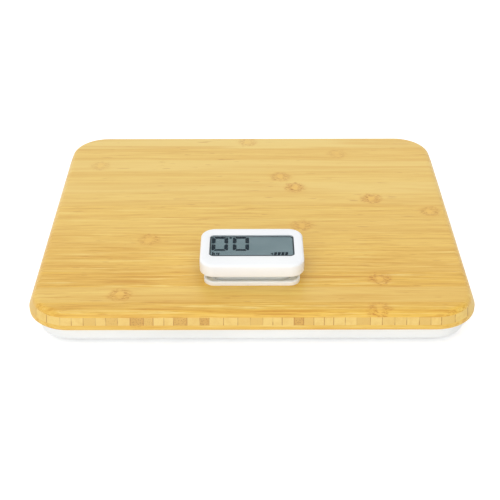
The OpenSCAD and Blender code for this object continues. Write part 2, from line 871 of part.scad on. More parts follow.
module rotor_magnet() {
    color("darkslategray") at_head() difference() {
        bar_y(2 * magnet_r, inner_y + 0.4, plate_y - 0.2, rotor_x);
        bar_y(axle_d + 2 * seat_gap, gen_y, gen_end, rotor_x);
    }
}

module generator_can() {
    color("silver") at_head() difference() {
        bar_y(gen_d, gen_y, gen_end, rotor_x);
        bar_y(2 * can_in, gen_y - 1, gen_end - can_t, rotor_x);
        bar_y(axle_d + 2 * run_gap, gen_y, gen_end + 1, rotor_x);
        bar_y(lead_w + 0.6, gen_end - 2, gen_end + 1, lead_x);
    }
}

// Steel ring of pole fingers that stand on an end plate
module stator_core() {
    color("slategray") at_head() difference() {
        union() {
            bar_y(2 * (pole_r + pole_t), inner_y, plate_y + 0.1, rotor_x);
            bar_y(2 * can_in - 2 * seat_gap, plate_y, gen_end - can_t, rotor_x);
        }
        bar_y(2 * pole_r, gen_y, gen_end, rotor_x);
        for (k = [1:poles]) translate([rotor_x, gen_y, train_z]) rotate([0, 360 * k / poles, 0])
            box([0, 0, -0.4], [pole_r + 2 * pole_t, plate_y - gen_y, 0.4]);
        bar_y(lead_w + 0.6, gen_end - 2, gen_end + 1, lead_x);
    }
}

module coil_bobbin() {
    color("seagreen") at_head() difference() {
        bar_y(2 * can_in - 2 * drop_gap, inner_y, plate_y, rotor_x);
        bar_y(2 * spool_r, gen_y, gen_end, rotor_x);
        difference() {
            bar_y(gen_d, inner_y + spool_t, plate_y - spool_t, rotor_x);
            bar_y(2 * (spool_r + spool_t), gen_y, gen_end, rotor_x);
        }
    }
}

module coil_winding() {
    color("chocolate") at_head() difference() {
        bar_y(2 * can_in - 4 * drop_gap, inner_y + spool_t, plate_y - spool_t, rotor_x);
        bar_y(2 * (spool_r + spool_t), gen_y, gen_end, rotor_x);
    }
}

module generator_leads() {
    start = head_y + gen_end - can_t;
    route = [[lead_x, start, train_z], [lead_x, start + 4, train_z], [lead_x, start + 8, main_top + 2],
        [lead_x, front_plug_y - 0.1, main_top + 2]];
    color("firebrick") tube(rounded_route(route, 1.5), lead_w / 2, 8);
}

module main_board() {
    color("darkgreen") translate([0, main_y, 0]) difference() {
        block(main_w, main_d, 2, main_z, main_top);
        four(main_screw_x, main_screw_y) bar(case_screw_d + 0.3, main_z - 1, main_top + 1);
    }
}

module board_screws() {
    color("silver") translate([0, main_y, main_top]) four(main_screw_x, main_screw_y) difference() {
        union() {
            bar(case_head_d, 0, case_head_h);
            bar(case_screw_d, -main_screw_l, 0.5);
        }
        translate([0, 0, case_head_h - 0.8]) cross_slot(case_head_d * slot_share, 1);
    }
}

// Sockets for the wires, the chips and the rectifier's four diodes
module board_parts() {
    color("ivory") {
        for (i = [-1, 1], y = plug_y) translate([i * (main_w / 2 - plug_l / 2), y, main_top])
            box([-plug_l / 2, -plug_w / 2, 0], [plug_l / 2, plug_w / 2, plug_h]);
        box([flex_x - flex_w / 2 - plug_over, front_plug_y, main_top],
            [flex_x + flex_w / 2 + plug_over, front_plug_y + front_plug_d, main_top + flex_plug_h]);
        box([lead_x - lead_plug_w / 2, front_plug_y, main_top],
            [lead_x + lead_plug_w / 2, front_plug_y + front_plug_d, main_top + plug_h]);
    }
    color("dimgray") for (c = chips) translate([c[0], main_y + c[1], main_top])
        box([-c[2] / 2, -c[3] / 2, 0], [c[2] / 2, c[3] / 2, chip_t]);
}

module storage_capacitor() {
    z = main_top + cap_d / 2 + 0.05;
    color("midnightblue") translate([cap_x, cap_y, z])
        rotate([0, 90, 0]) cylinder(d = cap_d, h = cap_l, center = true);
    color("silver") for (y = [-1, 1]) {
        box([cap_x + cap_l / 2, cap_y + y - lead_d / 2, z - lead_d / 2],
            [cap_x + cap_l / 2 + 2, cap_y + y + lead_d / 2, z + lead_d / 2]);
        box([cap_x + cap_l / 2 + 2 - lead_d, cap_y + y - lead_d / 2, main_top],
            [cap_x + cap_l / 2 + 2, cap_y + y + lead_d / 2, z + lead_d / 2]);
    }
}

module at_window() {
    translate([0, head_y + window_back, 0]) children();
}

module head_shell() {
    edge = concat(bottom_edge(shell_round, head_z), top_edge(head_round, head_top));
    w = window_w + 2 * drop_gap;
    d = window_d + 2 * drop_gap;
    color("white") difference() {
        at_head() {
            difference() {
                shaped(head_w, head_d, head_r, edge);
                block(head_w - 2 * skirt_t, head_d - 2 * skirt_t, head_r - skirt_t, head_z - 1, roof_z);
            }
            four(head_screw_x, head_screw_y) bar(head_boss_d, cover_top, roof_z + 0.3);
        }
        at_window() block(w, d, window_r + drop_gap, roof_z - 1, head_top + 1);
        at_head() four(head_screw_x, head_screw_y)
            bar(small_screw_d + 2 * seat_gap, cover_top - 1, roof_z - 0.4);
    }
}

module display_window() {
    color("lightgray") at_window() block(window_w, window_d, window_r, window_low, window_low + window_t);
}

module window_gasket() {
    color("black") at_window() difference() {
        block(window_w, window_d, window_r, roof_z, window_low);
        block(window_w - 2 * gasket_w, window_d - 2 * gasket_w, window_r - gasket_w,
            roof_z - 1, window_low + 1);
    }
}

module lcd_panel() {
    color("slategray") at_window() block(window_w + 2 * lcd_over, window_d + 2 * lcd_over, 1, lcd_z, roof_z);
}

// Rubber strips that join the display's glass to its board
module contact_strips() {
    color("pink") at_head() for (y = [-strip_y, strip_y])
        box([-strip_l / 2, y - strip_w / 2, head_board_top], [strip_l / 2, y + strip_w / 2, lcd_z]);
}

// Board with the display's driver chip below it and the flat cable's socket above it
module head_board() {
    color("darkgreen") at_head() {
        block(head_board_w, head_board_d, head_board_r, head_board_z, head_board_top);
        block(driver_w, driver_w, 0.3, head_board_z - driver_t, head_board_z + 0.1);
        box([flex_x - flex_w / 2 - plug_over, head_plug_y - head_plug_d / 2, head_board_top - 0.1],
            [flex_x + flex_w / 2 + plug_over, head_plug_y + head_plug_d / 2, head_board_top + head_plug_h]);
    }
}

// Underside of the head, with the hollow stem that goes down through the collar
module head_cover() {
    w = head_w - 2 * (skirt_t + cover_gap);
    d = head_d - 2 * (skirt_t + cover_gap);
    inner_w = stem_w - 2 * stem_t;
    inner_d = stem_d - 2 * stem_t;
    inner_r = stem_r - stem_t;
    color("white") at_head() difference() {
        union() {
            difference() {
                union() {
                    block(w, d, head_r - skirt_t - cover_gap, cover_z, cover_top);
                    block(stem_w, stem_d, stem_r, stem_low, cover_top);
                }
                block(inner_w, inner_d, inner_r, stem_low - 1, ceiling_z);
                block(inner_w, inner_d, inner_r, ceiling_top, cover_top + 1);
            }
            at_posts() bar(post_boss_d, ceiling_z, post_top);
            for (i = [-1, 1]) mirror([i < 0 ? 1 : 0, 0, 0]) {
                box([inner_w / 2 - head_ledge, -head_ledge_l / 2, ceiling_z],
                    [stem_w / 2, head_ledge_l / 2, head_board_z]);
                box([stem_w / 2, window_back - lcd_rib_l / 2, cover_z],
                    [stem_w / 2 + lcd_rib_t, window_back + lcd_rib_l / 2, lcd_z]);
            }
        }
        at_posts() bar(post_d + 2 * seat_gap, ceiling_z - 1, head_top);
        for (y = rack_screw_y) translate([rack_screw_x, y, 0])
            bar(small_screw_d + 2 * seat_gap, ceiling_z - 1, ceiling_top + 1);
        box([flex_x - flex_w / 2 - flex_gap, flex_y - flex_slot / 2, ceiling_z - 1],
            [flex_x + flex_w / 2 + flex_gap, flex_y + flex_slot / 2, cover_top]);
        four(head_screw_x, head_screw_y) translate([0, 0, cover_z]) sunk_screw(cover_t + 1, seat_gap);
    }
}

// Four screws hold the cover in the shell, and two hold the rack on the cover
module head_screws() {
    color("silver") at_head() {
        four(head_screw_x, head_screw_y) translate([0, 0, cover_z]) sunk_screw(roof_z - 0.6 - cover_z);
        for (y = rack_screw_y) translate([rack_screw_x, y, ceiling_z - foot_plate_t])
            sunk_screw(foot_plate_t + ceiling_t - 0.2);
    }
}

module guide_posts() {
    color("silver") at_head() at_posts() difference() {
        bar(post_d, post_low, post_top - 0.05);
        bar(stop_screw_d + 2 * seat_gap, post_low - 1, post_low + stop_screw_l + 0.5);
    }
}

// Flanged screws that stop the posts at the top of their travel
module post_screws() {
    flange = post_low - stop_t;
    color("silver") at_head() at_posts() difference() {
        union() {
            bar(stop_d, flange, post_low);
            bar(stop_head_d, flange - stop_head_h, post_low);
            bar(stop_screw_d, flange, post_low + stop_screw_l);
        }
        translate([0, 0, flange - stop_head_h - 1]) cross_slot(stop_head_d * slot_share, 1.7);
    }
}

module return_springs() {
    steps = 8 * spring_turns;
    path = [for (k = [0:steps]) [spring_d / 2 * cos(45 * k), spring_d / 2 * sin(45 * k),
        spring_low + (spring_high - spring_low) * k / steps]];
    color("silver") at_head() at_posts() tube(path, spring_wire / 2, 6);
}

module flex_cable() {
    up_y = head_y + flex_y;
    route = rounded_route([[front_plug_y - 0.05, flex_low], [up_y, flex_low], [up_y, flex_high],
        [head_y + head_plug_y + head_plug_d / 2 + 0.05, flex_high]], flex_r);
    across = [for (i = [0:len(route) - 1]) let (t = heading(route, i)) [-t[1], t[0]] * flex_t / 2];
    near = [for (i = [0:len(route) - 1]) route[i] + across[i]];
    far = [for (i = [0:len(route) - 1]) route[i] - across[i]];
    color("darkorange") translate([flex_x, 0, 0]) rotate([90, 0, 90])
        linear_extrude(flex_w, center = true) polygon(concat(near, backwards(far)));
}

platform_top_ply();
platform_core();
platform_bottom_ply();
base_tray();
base_screws();
at_corner(-1, -1) load_cell();  // load_cell_front_left
at_corner(1, -1) load_cell();  // load_cell_front_right
at_corner(-1, 1) load_cell();  // load_cell_back_left
at_corner(1, 1) load_cell();  // load_cell_back_right
at_corner(-1, -1) cell_clamp();  // cell_clamp_front_left
at_corner(1, -1) cell_clamp();  // cell_clamp_front_right
at_corner(-1, 1) cell_clamp();  // cell_clamp_back_left
at_corner(1, 1) cell_clamp();  // cell_clamp_back_right
at_corner(-1, -1) foot_cup();  // foot_cup_front_left
at_corner(1, -1) foot_cup();  // foot_cup_front_right
at_corner(-1, 1) foot_cup();  // foot_cup_back_left
at_corner(1, 1) foot_cup();  // foot_cup_back_right
at_corner(-1, -1) foot_pad();  // foot_pad_front_left
at_corner(1, -1) foot_pad();  // foot_pad_front_right
at_corner(-1, 1) foot_pad();  // foot_pad_back_left
at_corner(1, 1) foot_pad();  // foot_pad_back_right
cell_cable(-1, -1);  // cell_cable_front_left
cell_cable(1, -1);  // cell_cable_front_right
cell_cable(-1, 1);  // cell_cable_back_left
cell_cable(1, 1);  // cell_cable_back_right
strain_gauges();
collar();
collar_screws();
gear_case();
gear_cover();
gear_cover_screws();
rack();
first_gear();
first_axle();
second_gear();
second_axle();
generator_can();
stator_core();
coil_bobbin();
coil_winding();
generator_leads();
rotor_magnet();
rotor_shaft();
rotor_pinion();
main_board();
board_screws();
board_parts();
storage_capacitor();
head_shell();
display_window();
window_gasket();
lcd_panel();
contact_strips();
head_board();
head_cover();
head_screws();
guide_posts();
post_screws();
return_springs();
flex_cable();
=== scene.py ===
# Bamboo bathroom scale with a white tray and a raised display head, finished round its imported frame.
import math
import random

import bmesh
import bpy
from mathutils import Matrix, Vector


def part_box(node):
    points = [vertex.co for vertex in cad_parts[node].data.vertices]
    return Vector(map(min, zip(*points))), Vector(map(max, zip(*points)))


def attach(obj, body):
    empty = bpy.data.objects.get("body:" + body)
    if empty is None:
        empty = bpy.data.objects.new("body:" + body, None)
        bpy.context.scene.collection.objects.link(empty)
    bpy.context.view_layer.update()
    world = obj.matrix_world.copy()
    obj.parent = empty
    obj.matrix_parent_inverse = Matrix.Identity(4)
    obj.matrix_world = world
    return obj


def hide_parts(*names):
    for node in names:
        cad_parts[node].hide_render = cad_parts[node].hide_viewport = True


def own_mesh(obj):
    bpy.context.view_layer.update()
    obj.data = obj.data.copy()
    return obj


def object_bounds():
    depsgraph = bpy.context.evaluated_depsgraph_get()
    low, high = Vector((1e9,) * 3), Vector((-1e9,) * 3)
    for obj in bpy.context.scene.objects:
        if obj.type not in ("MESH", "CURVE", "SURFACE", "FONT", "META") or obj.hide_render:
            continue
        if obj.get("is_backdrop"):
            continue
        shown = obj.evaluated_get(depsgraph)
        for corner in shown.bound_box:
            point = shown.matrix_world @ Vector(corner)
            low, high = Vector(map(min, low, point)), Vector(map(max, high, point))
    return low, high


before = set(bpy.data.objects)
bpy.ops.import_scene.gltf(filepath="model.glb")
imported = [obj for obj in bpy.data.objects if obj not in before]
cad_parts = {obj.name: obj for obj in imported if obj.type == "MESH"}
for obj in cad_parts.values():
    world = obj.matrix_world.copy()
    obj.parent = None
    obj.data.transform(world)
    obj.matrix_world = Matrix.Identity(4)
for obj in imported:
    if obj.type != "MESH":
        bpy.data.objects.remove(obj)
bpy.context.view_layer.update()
scene = bpy.context.scene
MM = 0.001

# Camera
# A long lens looks down on the scale from the front, from about three quarters of a metre away.
# Its place was fitted to the platform's rounded outline in the 500 pixel photograph.
PHOTO_SIDE = 500
FOCAL_PIXELS = 1069.4
SENSOR = 36
LOOK_AT = Vector((-1.25, -51.41, 28)) * MM
DISTANCE = 758.5 * MM
ELEVATION = math.radians(32.51)
YAW = math.radians(-0.09)
ROLL = math.radians(-0.07)


def in_scene(name, data):
    """An object for a mesh, a lens or a lamp, linked to the scene."""
    thing = bpy.data.objects.new(name, data)
    scene.collection.objects.link(thing)
    return thing


def turned_along(way):
    """The turn that points Z along a way."""
    return way.to_track_quat("Z", "Y").to_matrix().to_4x4()


lens = bpy.data.cameras.new("photo_camera")
lens.sensor_width = SENSOR
lens.lens = SENSOR * FOCAL_PIXELS / PHOTO_SIDE
camera = in_scene("photo_camera", lens)
level = math.cos(ELEVATION)
back = Vector((math.sin(YAW) * level, -math.cos(YAW) * level, math.sin(ELEVATION)))
place = Matrix.Translation(LOOK_AT + back * DISTANCE)
camera.matrix_world = place @ turned_along(back) @ Matrix.Rotation(ROLL, 4, "Z")
scene.camera = camera
scene.view_settings.view_transform = "Standard"

# Studio
# A white floor and a white room that is darker at its sides, above all on the right, with one large soft
# lamp low in front and a weaker one at the right. Floor and room show white to the lens, and the floor
# keeps the shadow.
WHITE = (1, 1, 1, 1)
ROOM_LIGHT = 1.08
SIDES = [(-0.85, 0.55), (-0.55, 1.0), (0.5, 1.0), (0.8, 0.05)]  # share of the room's light along X
FLOOR_SIDE = 6.0
FLOOR_COLOUR = (0.9, 0.9, 0.9, 1)
FLOOR_GLOW = 0.40
LAMPS = {
    "window_lamp": {"place": (-0.40, -1.55, 0.66), "side": 0.9, "power": 3.9},
    "fill_lamp": {"place": (0.95, -0.9, 0.8), "side": 0.9, "power": 1.0},
}


class Value:
    """What a socket gives, so that sums of sockets can be written the usual way."""

    def __init__(self, tree, socket):
        self.tree, self.socket = tree, socket

    def __add__(self, other):
        return self.tree.math("ADD", self, other)

    def __sub__(self, other):
        return self.tree.math("SUBTRACT", self, other)

    def __mul__(self, other):
        return self.tree.math("MULTIPLY", self, other)

    def __truediv__(self, other):
        return self.tree.math("DIVIDE", self, other)


class Tree:
    """A node tree, filled by short calls. Numbers and colours are set on sockets, and values are linked."""

    def __init__(self, tree):
        self.tree = tree

    def put(self, socket, value):
        if isinstance(value, Value):
            self.tree.links.new(value.socket, socket)
        elif value is not None:
            socket.default_value = value

    def node(self, kind, *inputs, **named):
        """A node with its first inputs in order. Names with a capital are inputs too, the others settings."""
        node = self.tree.nodes.new(kind if "Node" in kind else "ShaderNode" + kind)
        for name, value in named.items():
            if name[0].isupper():
                self.put(node.inputs[name.replace("_", " ")], value)
            else:
                setattr(node, name, value)
        for socket, value in zip(node.inputs, inputs):
            self.put(socket, value)
        return node

    def add(self, kind, *inputs, out=0, **named):
        return Value(self, self.node(kind, *inputs, **named).outputs[out])

    def math(self, operation, *values):
        return self.add("Math", *values, operation=operation)

    def seen_directly(self):
        """1 for rays from the lens, also by a gloss or through a clear piece, and 0 for light on things."""
        path = self.node("LightPath").outputs
        rays = [Value(self, path["Is %s Ray" % ray]) for ray in ("Camera", "Glossy", "Transmission")]
        return self.math("MAXIMUM", self.math("MAXIMUM", *rays[:2]), rays[2])


world = bpy.data.worlds.new("white_room")
scene.world = world
world.use_nodes = True
room = Tree(world.node_tree)
room.tree.nodes.clear()
along_x = room.add("SeparateXYZ", room.add("TexCoord", out="Generated"))
dim = room.node("ValToRGB", room.math("MULTIPLY_ADD", along_x, 0.5, 0.5))
dim.color_ramp.interpolation = "EASE"
for _ in SIDES[2:]:
    dim.color_ramp.elements.new(0.5)
for stop, (x, share) in zip(dim.color_ramp.elements, SIDES):
    stop.position = (x + 1) / 2
    stop.color = (share, share, share, 1)
lit = Value(room, dim.outputs["Color"]) * ROOM_LIGHT
strength = room.add("Mix", room.seen_directly(), None, lit, 1.0)
room.node("OutputWorld", room.add("Background", WHITE, strength))

floor_mesh = bpy.data.meshes.new("studio_floor")
half = FLOOR_SIDE / 2
floor_mesh.from_pydata([(-half, -half, 0), (half, -half, 0), (half, half, 0), (-half, half, 0)], [],
                       [(0, 1, 2, 3)])
floor = in_scene("studio_floor", floor_mesh)
paper = bpy.data.materials.new("studio_paper")
paper.use_nodes = True
sheet = Tree(paper.node_tree)
sheet.tree.nodes.clear()
matt = sheet.add("BsdfDiffuse", FLOOR_COLOUR)
glow = sheet.add("Emission", None, sheet.seen_directly() * FLOOR_GLOW)
sheet.node("OutputMaterial", sheet.add("AddShader", matt, glow))
floor_mesh.materials.append(paper)
floor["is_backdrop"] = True

for name, lamp in LAMPS.items():
    light = bpy.data.lights.new(name, "AREA")
    light.size = lamp["side"]
    light.energy = lamp["power"]
    place = Vector(lamp["place"])
    in_scene(name, light).matrix_world = Matrix.Translation(place) @ turned_along(place)

# Bamboo platform
# Three plies of bamboo glued together: the outer ones are flat strips laid left to right, and the core's
# strips run front to back. The edge is cut on a slope, sanded round at the top and lacquered.
# Each strip's shade is partly its own tone and partly painted light: the shades rise toward the back, so the
# back of the board is painted paler and the front deeper.
STRIPS = [  # from the front: width in mm, where its node lies along X, its shade, and the node's strength
    (14.8, 83, 0.15, 0.8), (17.5, -88, 0.58, 0.8), (18.7, 87, 0.1, 1.0), (13.3, 176, 0.3, 0.6),
    (18.7, -178, 0.3, 0.6), (18.6, -74, 0.4, 0.6), (21.3, 37, 0.5, 0.7), (19.1, 134, 0.45, 0.7),
    (19.0, 92, 0.65, 0.9), (17.0, 34, 0.8, 1.0), (18.0, 23, 0.65, 0.7), (19.4, -122, 0.8, 0.35),
    (20.6, 71, 0.6, 0.35), (24.0, -3, 0.9, 0.5),
]
LOWER_PLY_SHIFT = 5  # strips by which the lower ply's pattern is moved on
CORE_STRIP = (6.0, 9.4)
SEAM_FADE = 0.48
KNOT = (4.3, 7.0)  # half its length and half its width
TOP_SANDING = 5.0
LOWER_ROUND = 0.5
BOARD_CORNER = 29.6
EDGE_IN = 3.8
EDGE_H = 9.2
BOARD_SEED = 11


def corner_arcs(size, radius, steps):
    """Points of a rounded rectangle, counter-clockwise, as many for every size."""
    w, d = size[0] / 2 - radius, size[1] / 2 - radius
    points = []
    for quarter, (sx, sy) in enumerate(((1, 1), (-1, 1), (-1, -1), (1, -1))):
        for k in range(steps + 1):
            turn = math.pi / 2 * (quarter + k / steps)
            points.append((sx * w + radius * math.cos(turn), sy * d + radius * math.sin(turn)))
    return points


def skin(bm, rows, closed=False):
    """Faces from each row of corners to the next, and from the last to the first if it is closed."""
    count = max(len(row) for row in rows)
    for first, second in list(zip(rows, rows[1:])) + ([(rows[-1], rows[0])] if closed else []):
        for k in range(count):
            n = (k + 1) % count
            corners = [first[k % len(first)], first[n % len(first)],
                       second[n % len(second)], second[k % len(second)]]
            kept = list(dict.fromkeys(corners))
            if len(kept) > 2:
                bm.faces.new(kept)


def finished_mesh(name, bm):
    """An object of the faces, with their normals outward."""
    bmesh.ops.recalc_face_normals(bm, faces=bm.faces)
    mesh = bpy.data.meshes.new(name)
    bm.to_mesh(mesh)
    bm.free()
    return in_scene(name, mesh)


def loft(name, rings, steps=16, closed=False):
    """Skin over rounded rectangles, each (width, depth, radius, height, middle y), in mm."""
    bm = bmesh.new()
    rows = [[bm.verts.new((px * MM, (py + y) * MM, z * MM)) for px, py in corner_arcs((w, d), r, steps)]
            for w, d, r, z, y in rings]
    skin(bm, rows, closed)
    if not closed:
        bm.faces.new(reversed(rows[0]))
        bm.faces.new(rows[-1])
    return finished_mesh(name, bm)


def smooth(piece, angle=35):
    """Round shading, with creases where the faces meet at more than the angle."""
    piece.data.shade_smooth()
    piece.data.set_sharp_from_angle(angle=math.radians(angle))


def srgb(r, g, b):
    """Colour of a surface from its 8-bit values, by the usual display curve."""
    return tuple(v / 3294.6 if v <= 10.31 else ((v / 255 + 0.055) / 1.055) ** 2.4 for v in (r, g, b)) + (1.0,)


def tint(colour, by, plus=0.0):
    """A colour made lighter or darker."""
    return tuple(min(1.0, c * by + plus) for c in colour[:3]) + (1.0,)


class Finish(Tree):
    """A surface's material, round its principled shader. Constants are named as the shader's inputs."""

    def __init__(self, name, **constants):
        self.material = bpy.data.materials.new(name)
        self.material.use_nodes = True
        super().__init__(self.material.node_tree)
        self.shader = self.tree.nodes["Principled BSDF"].inputs
        for key, value in constants.items():
            self.shader[key.replace("_", " ")].default_value = value

    def place(self, scale=(1, 1, 1), shift=(0, 0, 0)):
        return self.add("Mapping", Vector=self.add("TexCoord", out="Object"), Location=shift, Scale=scale)

    def axes(self, vector):
        """A vector's X, Y and Z."""
        return [Value(self, socket) for socket in self.node("SeparateXYZ", vector).outputs]

    def noise(self, vector, scale, detail=3.0, rough=0.5, warp=0.0):
        return self.add("TexNoise", vector, Scale=scale, Detail=detail, Roughness=rough, Distortion=warp)

    def grain(self, vector, stretch, *shape):
        """Noise that is finer or longer along each axis."""
        return self.noise(self.add("VectorMath", vector, stretch, operation="MULTIPLY"), 1.0, *shape)

    def attribute(self, name):
        return self.add("Attribute", out="Fac", attribute_name=name)

    def span(self, value, low, high, to_low=0.0, to_high=1.0, soft=True):
        """A value's range from low to high, spread over another one and eased at its ends if it is soft."""
        return self.add("MapRange", value, low, high, to_low, to_high,
                        interpolation_type="SMOOTHSTEP" if soft else "LINEAR")

    def blend(self, amount, first, second):
        node = self.node("Mix", amount, data_type="RGBA")
        self.put(node.inputs[6], first)
        self.put(node.inputs[7], second)
        return Value(self, node.outputs[2])

    def colour(self, value):
        self.put(self.shader["Base Color"], value)

    def tones(self, amount, first, second):
        self.colour(self.blend(amount, srgb(*first), srgb(*second)))

    def layers(self, under, *coats):
        """Colours laid over a first one, each by its own amount."""
        for amount, colour in coats:
            under = self.blend(amount, under, srgb(*colour))
        self.colour(under)

    def rough(self, value, low, high, to_low, to_high):
        """Roughness that goes evenly from one number to another over a value's range."""
        self.put(self.shader["Roughness"], self.span(value, low, high, to_low, to_high, soft=False))

    def relief(self, height, depth, strength=1.0):
        """Relief of the given depth in metres, from a height of 0 to 1."""
        self.put(self.shader["Normal"], self.add("Bump", Strength=strength, Distance=depth, Height=height))


def cut_strips(piece, axis, places):
    """Cuts a ply where its strips meet, so that each strip has its own faces."""
    bm = bmesh.new()
    bm.from_mesh(piece.data)
    normal = Vector((axis == 0, axis == 1, 0))
    for place in places[1:-1]:
        geometry = bm.verts[:] + bm.edges[:] + bm.faces[:]
        bmesh.ops.bisect_plane(bm, geom=geometry, plane_co=normal * place * MM, plane_no=normal, dist=1e-7)
    bm.to_mesh(piece.data)
    bm.free()


def note(piece, name, values):
    """Stores one number for each face, for the material to read."""
    layer = piece.data.attributes.new(name, "FLOAT", "FACE")
    layer.data.foreach_set("value", values)


def ply_with_opening(name, rings, opening):
    """A ply lofted over its rings, with the mechanism's opening cut straight through it."""
    hole_w, hole_d, hole_r, hole_y = opening
    low, high = rings[0][3], rings[-1][3]
    inner = [(hole_w, hole_d, hole_r, high, hole_y), (hole_w, hole_d, hole_r, low, hole_y)]
    return loft(name, rings + inner, closed=True)


low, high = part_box("platform_bottom_ply")
board_w, board_d = (high.x - low.x) / MM, (high.y - low.y) / MM
board_low = low.z / MM
core_low, core_high = (corner.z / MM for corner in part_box("platform_core"))
top_low, deck = (corner.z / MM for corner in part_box("platform_top_ply"))
case_low, case_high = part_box("collar")
head_y = (case_low.y + case_high.y) / 2 / MM
OPENING = (59.0, 37.0, 3.0, head_y)
slope_low = deck - EDGE_H


def inset_at(z):
    """How far the sloping edge is drawn in at a height."""
    return EDGE_IN * max(0.0, z - slope_low) / EDGE_H


def outline_in(drawn, z):
    """The platform's outline at a height, drawn in by a width."""
    return (board_w - 2 * drawn, board_d - 2 * drawn, BOARD_CORNER - drawn, z, 0.0)


def board_ring(z, extra=0.0):
    return outline_in(inset_at(z) + extra, z)


def sanded_rings(steps=8):
    """Rings of the top edge, where the slope is sanded into the face with a round of the sanding radius."""
    lean = math.atan2(EDGE_IN, EDGE_H)
    sweep = math.pi / 2 - lean
    reach = TOP_SANDING * math.tan(sweep / 2)
    first_z = deck - reach * math.cos(lean)
    centre = (inset_at(first_z) + TOP_SANDING * math.cos(lean), deck - TOP_SANDING)
    turns = [lean + sweep * k / steps for k in range(steps + 1)]
    return [outline_in(centre[0] - TOP_SANDING * math.cos(turn), centre[1] + TOP_SANDING * math.sin(turn))
            for turn in turns]


top_ply = ply_with_opening("top_ply", [board_ring(top_low)] + sanded_rings(), OPENING)
core_ply = ply_with_opening("core_ply", [board_ring(core_low), board_ring(core_high)], OPENING)
lower_rings = [board_ring(board_low + LOWER_ROUND * (1 - math.cos(a)), LOWER_ROUND * (1 - math.sin(a)))
               for a in (math.pi / 8 * k for k in range(5))]
lower_rings += [board_ring(slope_low), board_ring(core_low)]
bottom_ply = ply_with_opening("bottom_ply", lower_rings, OPENING)

strip_edges = [-board_d / 2]
for width, *_ in STRIPS:
    strip_edges.append(strip_edges[-1] + width * board_d / sum(s[0] for s in STRIPS))
chance = random.Random(BOARD_SEED)
core_edges = [-board_w / 2]
while core_edges[-1] < board_w / 2:
    core_edges.append(core_edges[-1] + chance.uniform(*CORE_STRIP))
core_shades = [chance.random() for _ in core_edges]


def strip_of(place, edges):
    """Which of the strips between the edges a place lies on."""
    return min(max(0, sum(place >= edge for edge in edges) - 1), len(edges) - 2)


for ply, shift in ((top_ply, 0), (bottom_ply, LOWER_PLY_SHIFT)):
    cut_strips(ply, 1, strip_edges)
    rows = [strip_of(face.center.y / MM, strip_edges) for face in ply.data.polygons]
    picks = [STRIPS[(row + shift) % len(STRIPS)] for row in rows]
    note(ply, "shade", [pick[2] for pick in picks])
    note(ply, "knot_x", [pick[1] * MM for pick in picks])
    note(ply, "knot_y", [(strip_edges[row] + strip_edges[row + 1]) / 2 * MM for row in rows])
    note(ply, "knot", [pick[3] for pick in picks])
cut_strips(core_ply, 0, core_edges)
columns = [strip_of(face.center.x / MM, core_edges) for face in core_ply.data.polygons]
note(core_ply, "shade", [core_shades[c] for c in columns])
note(core_ply, "strip_x", [(core_edges[c] + core_edges[c + 1]) / 2 * MM for c in columns])
note(core_ply, "strip_half", [(core_edges[c + 1] - core_edges[c]) / 2 * MM for c in columns])


def bamboo_face():
    """Lacquered strips with fine fibres along X, slow streaks, short flecks and a knotty node on each."""
    f = Finish("lacquered_bamboo", Coat_Weight=0.12, Coat_Roughness=0.3)
    shade, knot_x, knot_y, knot = (f.attribute(name) for name in ("shade", "knot_x", "knot_y", "knot"))
    place = f.place()
    x, y, z = f.axes(place)
    aside = f.noise(f.place(shift=(0.3, 0, 0)), 210.0, 3.0) - 0.5
    along = f.noise(f.place(shift=(0, 0.7, 0)), 170.0, 3.0) - 0.5
    dx = (x - knot_x) / (KNOT[0] * MM) + along * 1.1
    dy = (y - knot_y) / (KNOT[1] * MM) + aside * 1.3
    reach = f.math("SQRT", dx * dx + dy * dy)
    long_x = dx * 0.55
    stretched = f.math("SQRT", long_x * long_x + dy * dy)
    ring = f.span(reach, 0.40, 0.75) * f.span(stretched, 1.25, 0.75)
    heart = f.span(reach, 0.95, 0.25) * knot
    halo = f.span(stretched, 1.5, 0.5) * knot
    dashes = f.grain(place, (300.0, 1250.0, 1250.0), 2.0, 0.7)
    dark = ring * knot * f.span(dashes, 0.48, 0.58)
    own = f.add("CombineXYZ", x + shade * 0.7, y + shade * 0.3, z)
    broad = f.grain(own, (4.5, 90.0, 90.0), 3.0, 0.55, 0.8)
    streaks = f.grain(own, (15.0, 460.0, 460.0), 5.0, 0.65, 0.4)
    fibres = f.grain(own, (60.0, 1700.0, 1700.0), 3.0, 0.6)
    flecks = f.grain(own, (70.0, 520.0, 520.0), 1.0, 0.4)
    bold = f.span(shade, 0.85, 0.15, 0.05, 2.5, soft=False)
    # the base goes from deep to pale with the strip's shade, which carries the painted light that pales the
    # back strips
    f.layers(f.blend(shade, srgb(236, 188, 66), srgb(240, 209, 122)),
             (f.span(broad, 0.60, 0.36) * 0.60, (226, 177, 74)),
             (f.span(streaks, 0.52, 0.32) * 0.46 * bold, (213, 155, 48)),
             (f.span(streaks, 0.53, 0.72) * 0.40 * bold, (248, 221, 134)),
             (f.span(fibres, 0.50, 0.28) * 0.30 * bold, (206, 149, 46)),
             (f.span(flecks, 0.70, 0.78) * 0.42, (192, 122, 30)),
             (halo * 0.40, (226, 166, 56)),
             (heart * 0.45, (243, 196, 88)),
             (dark * 0.95, (194, 124, 28)))
    f.rough(fibres, 0.2, 0.8, 0.52, 0.40)
    f.relief(fibres * 0.6 + dark * -0.4, 0.03 * MM, 0.4)
    return f.material


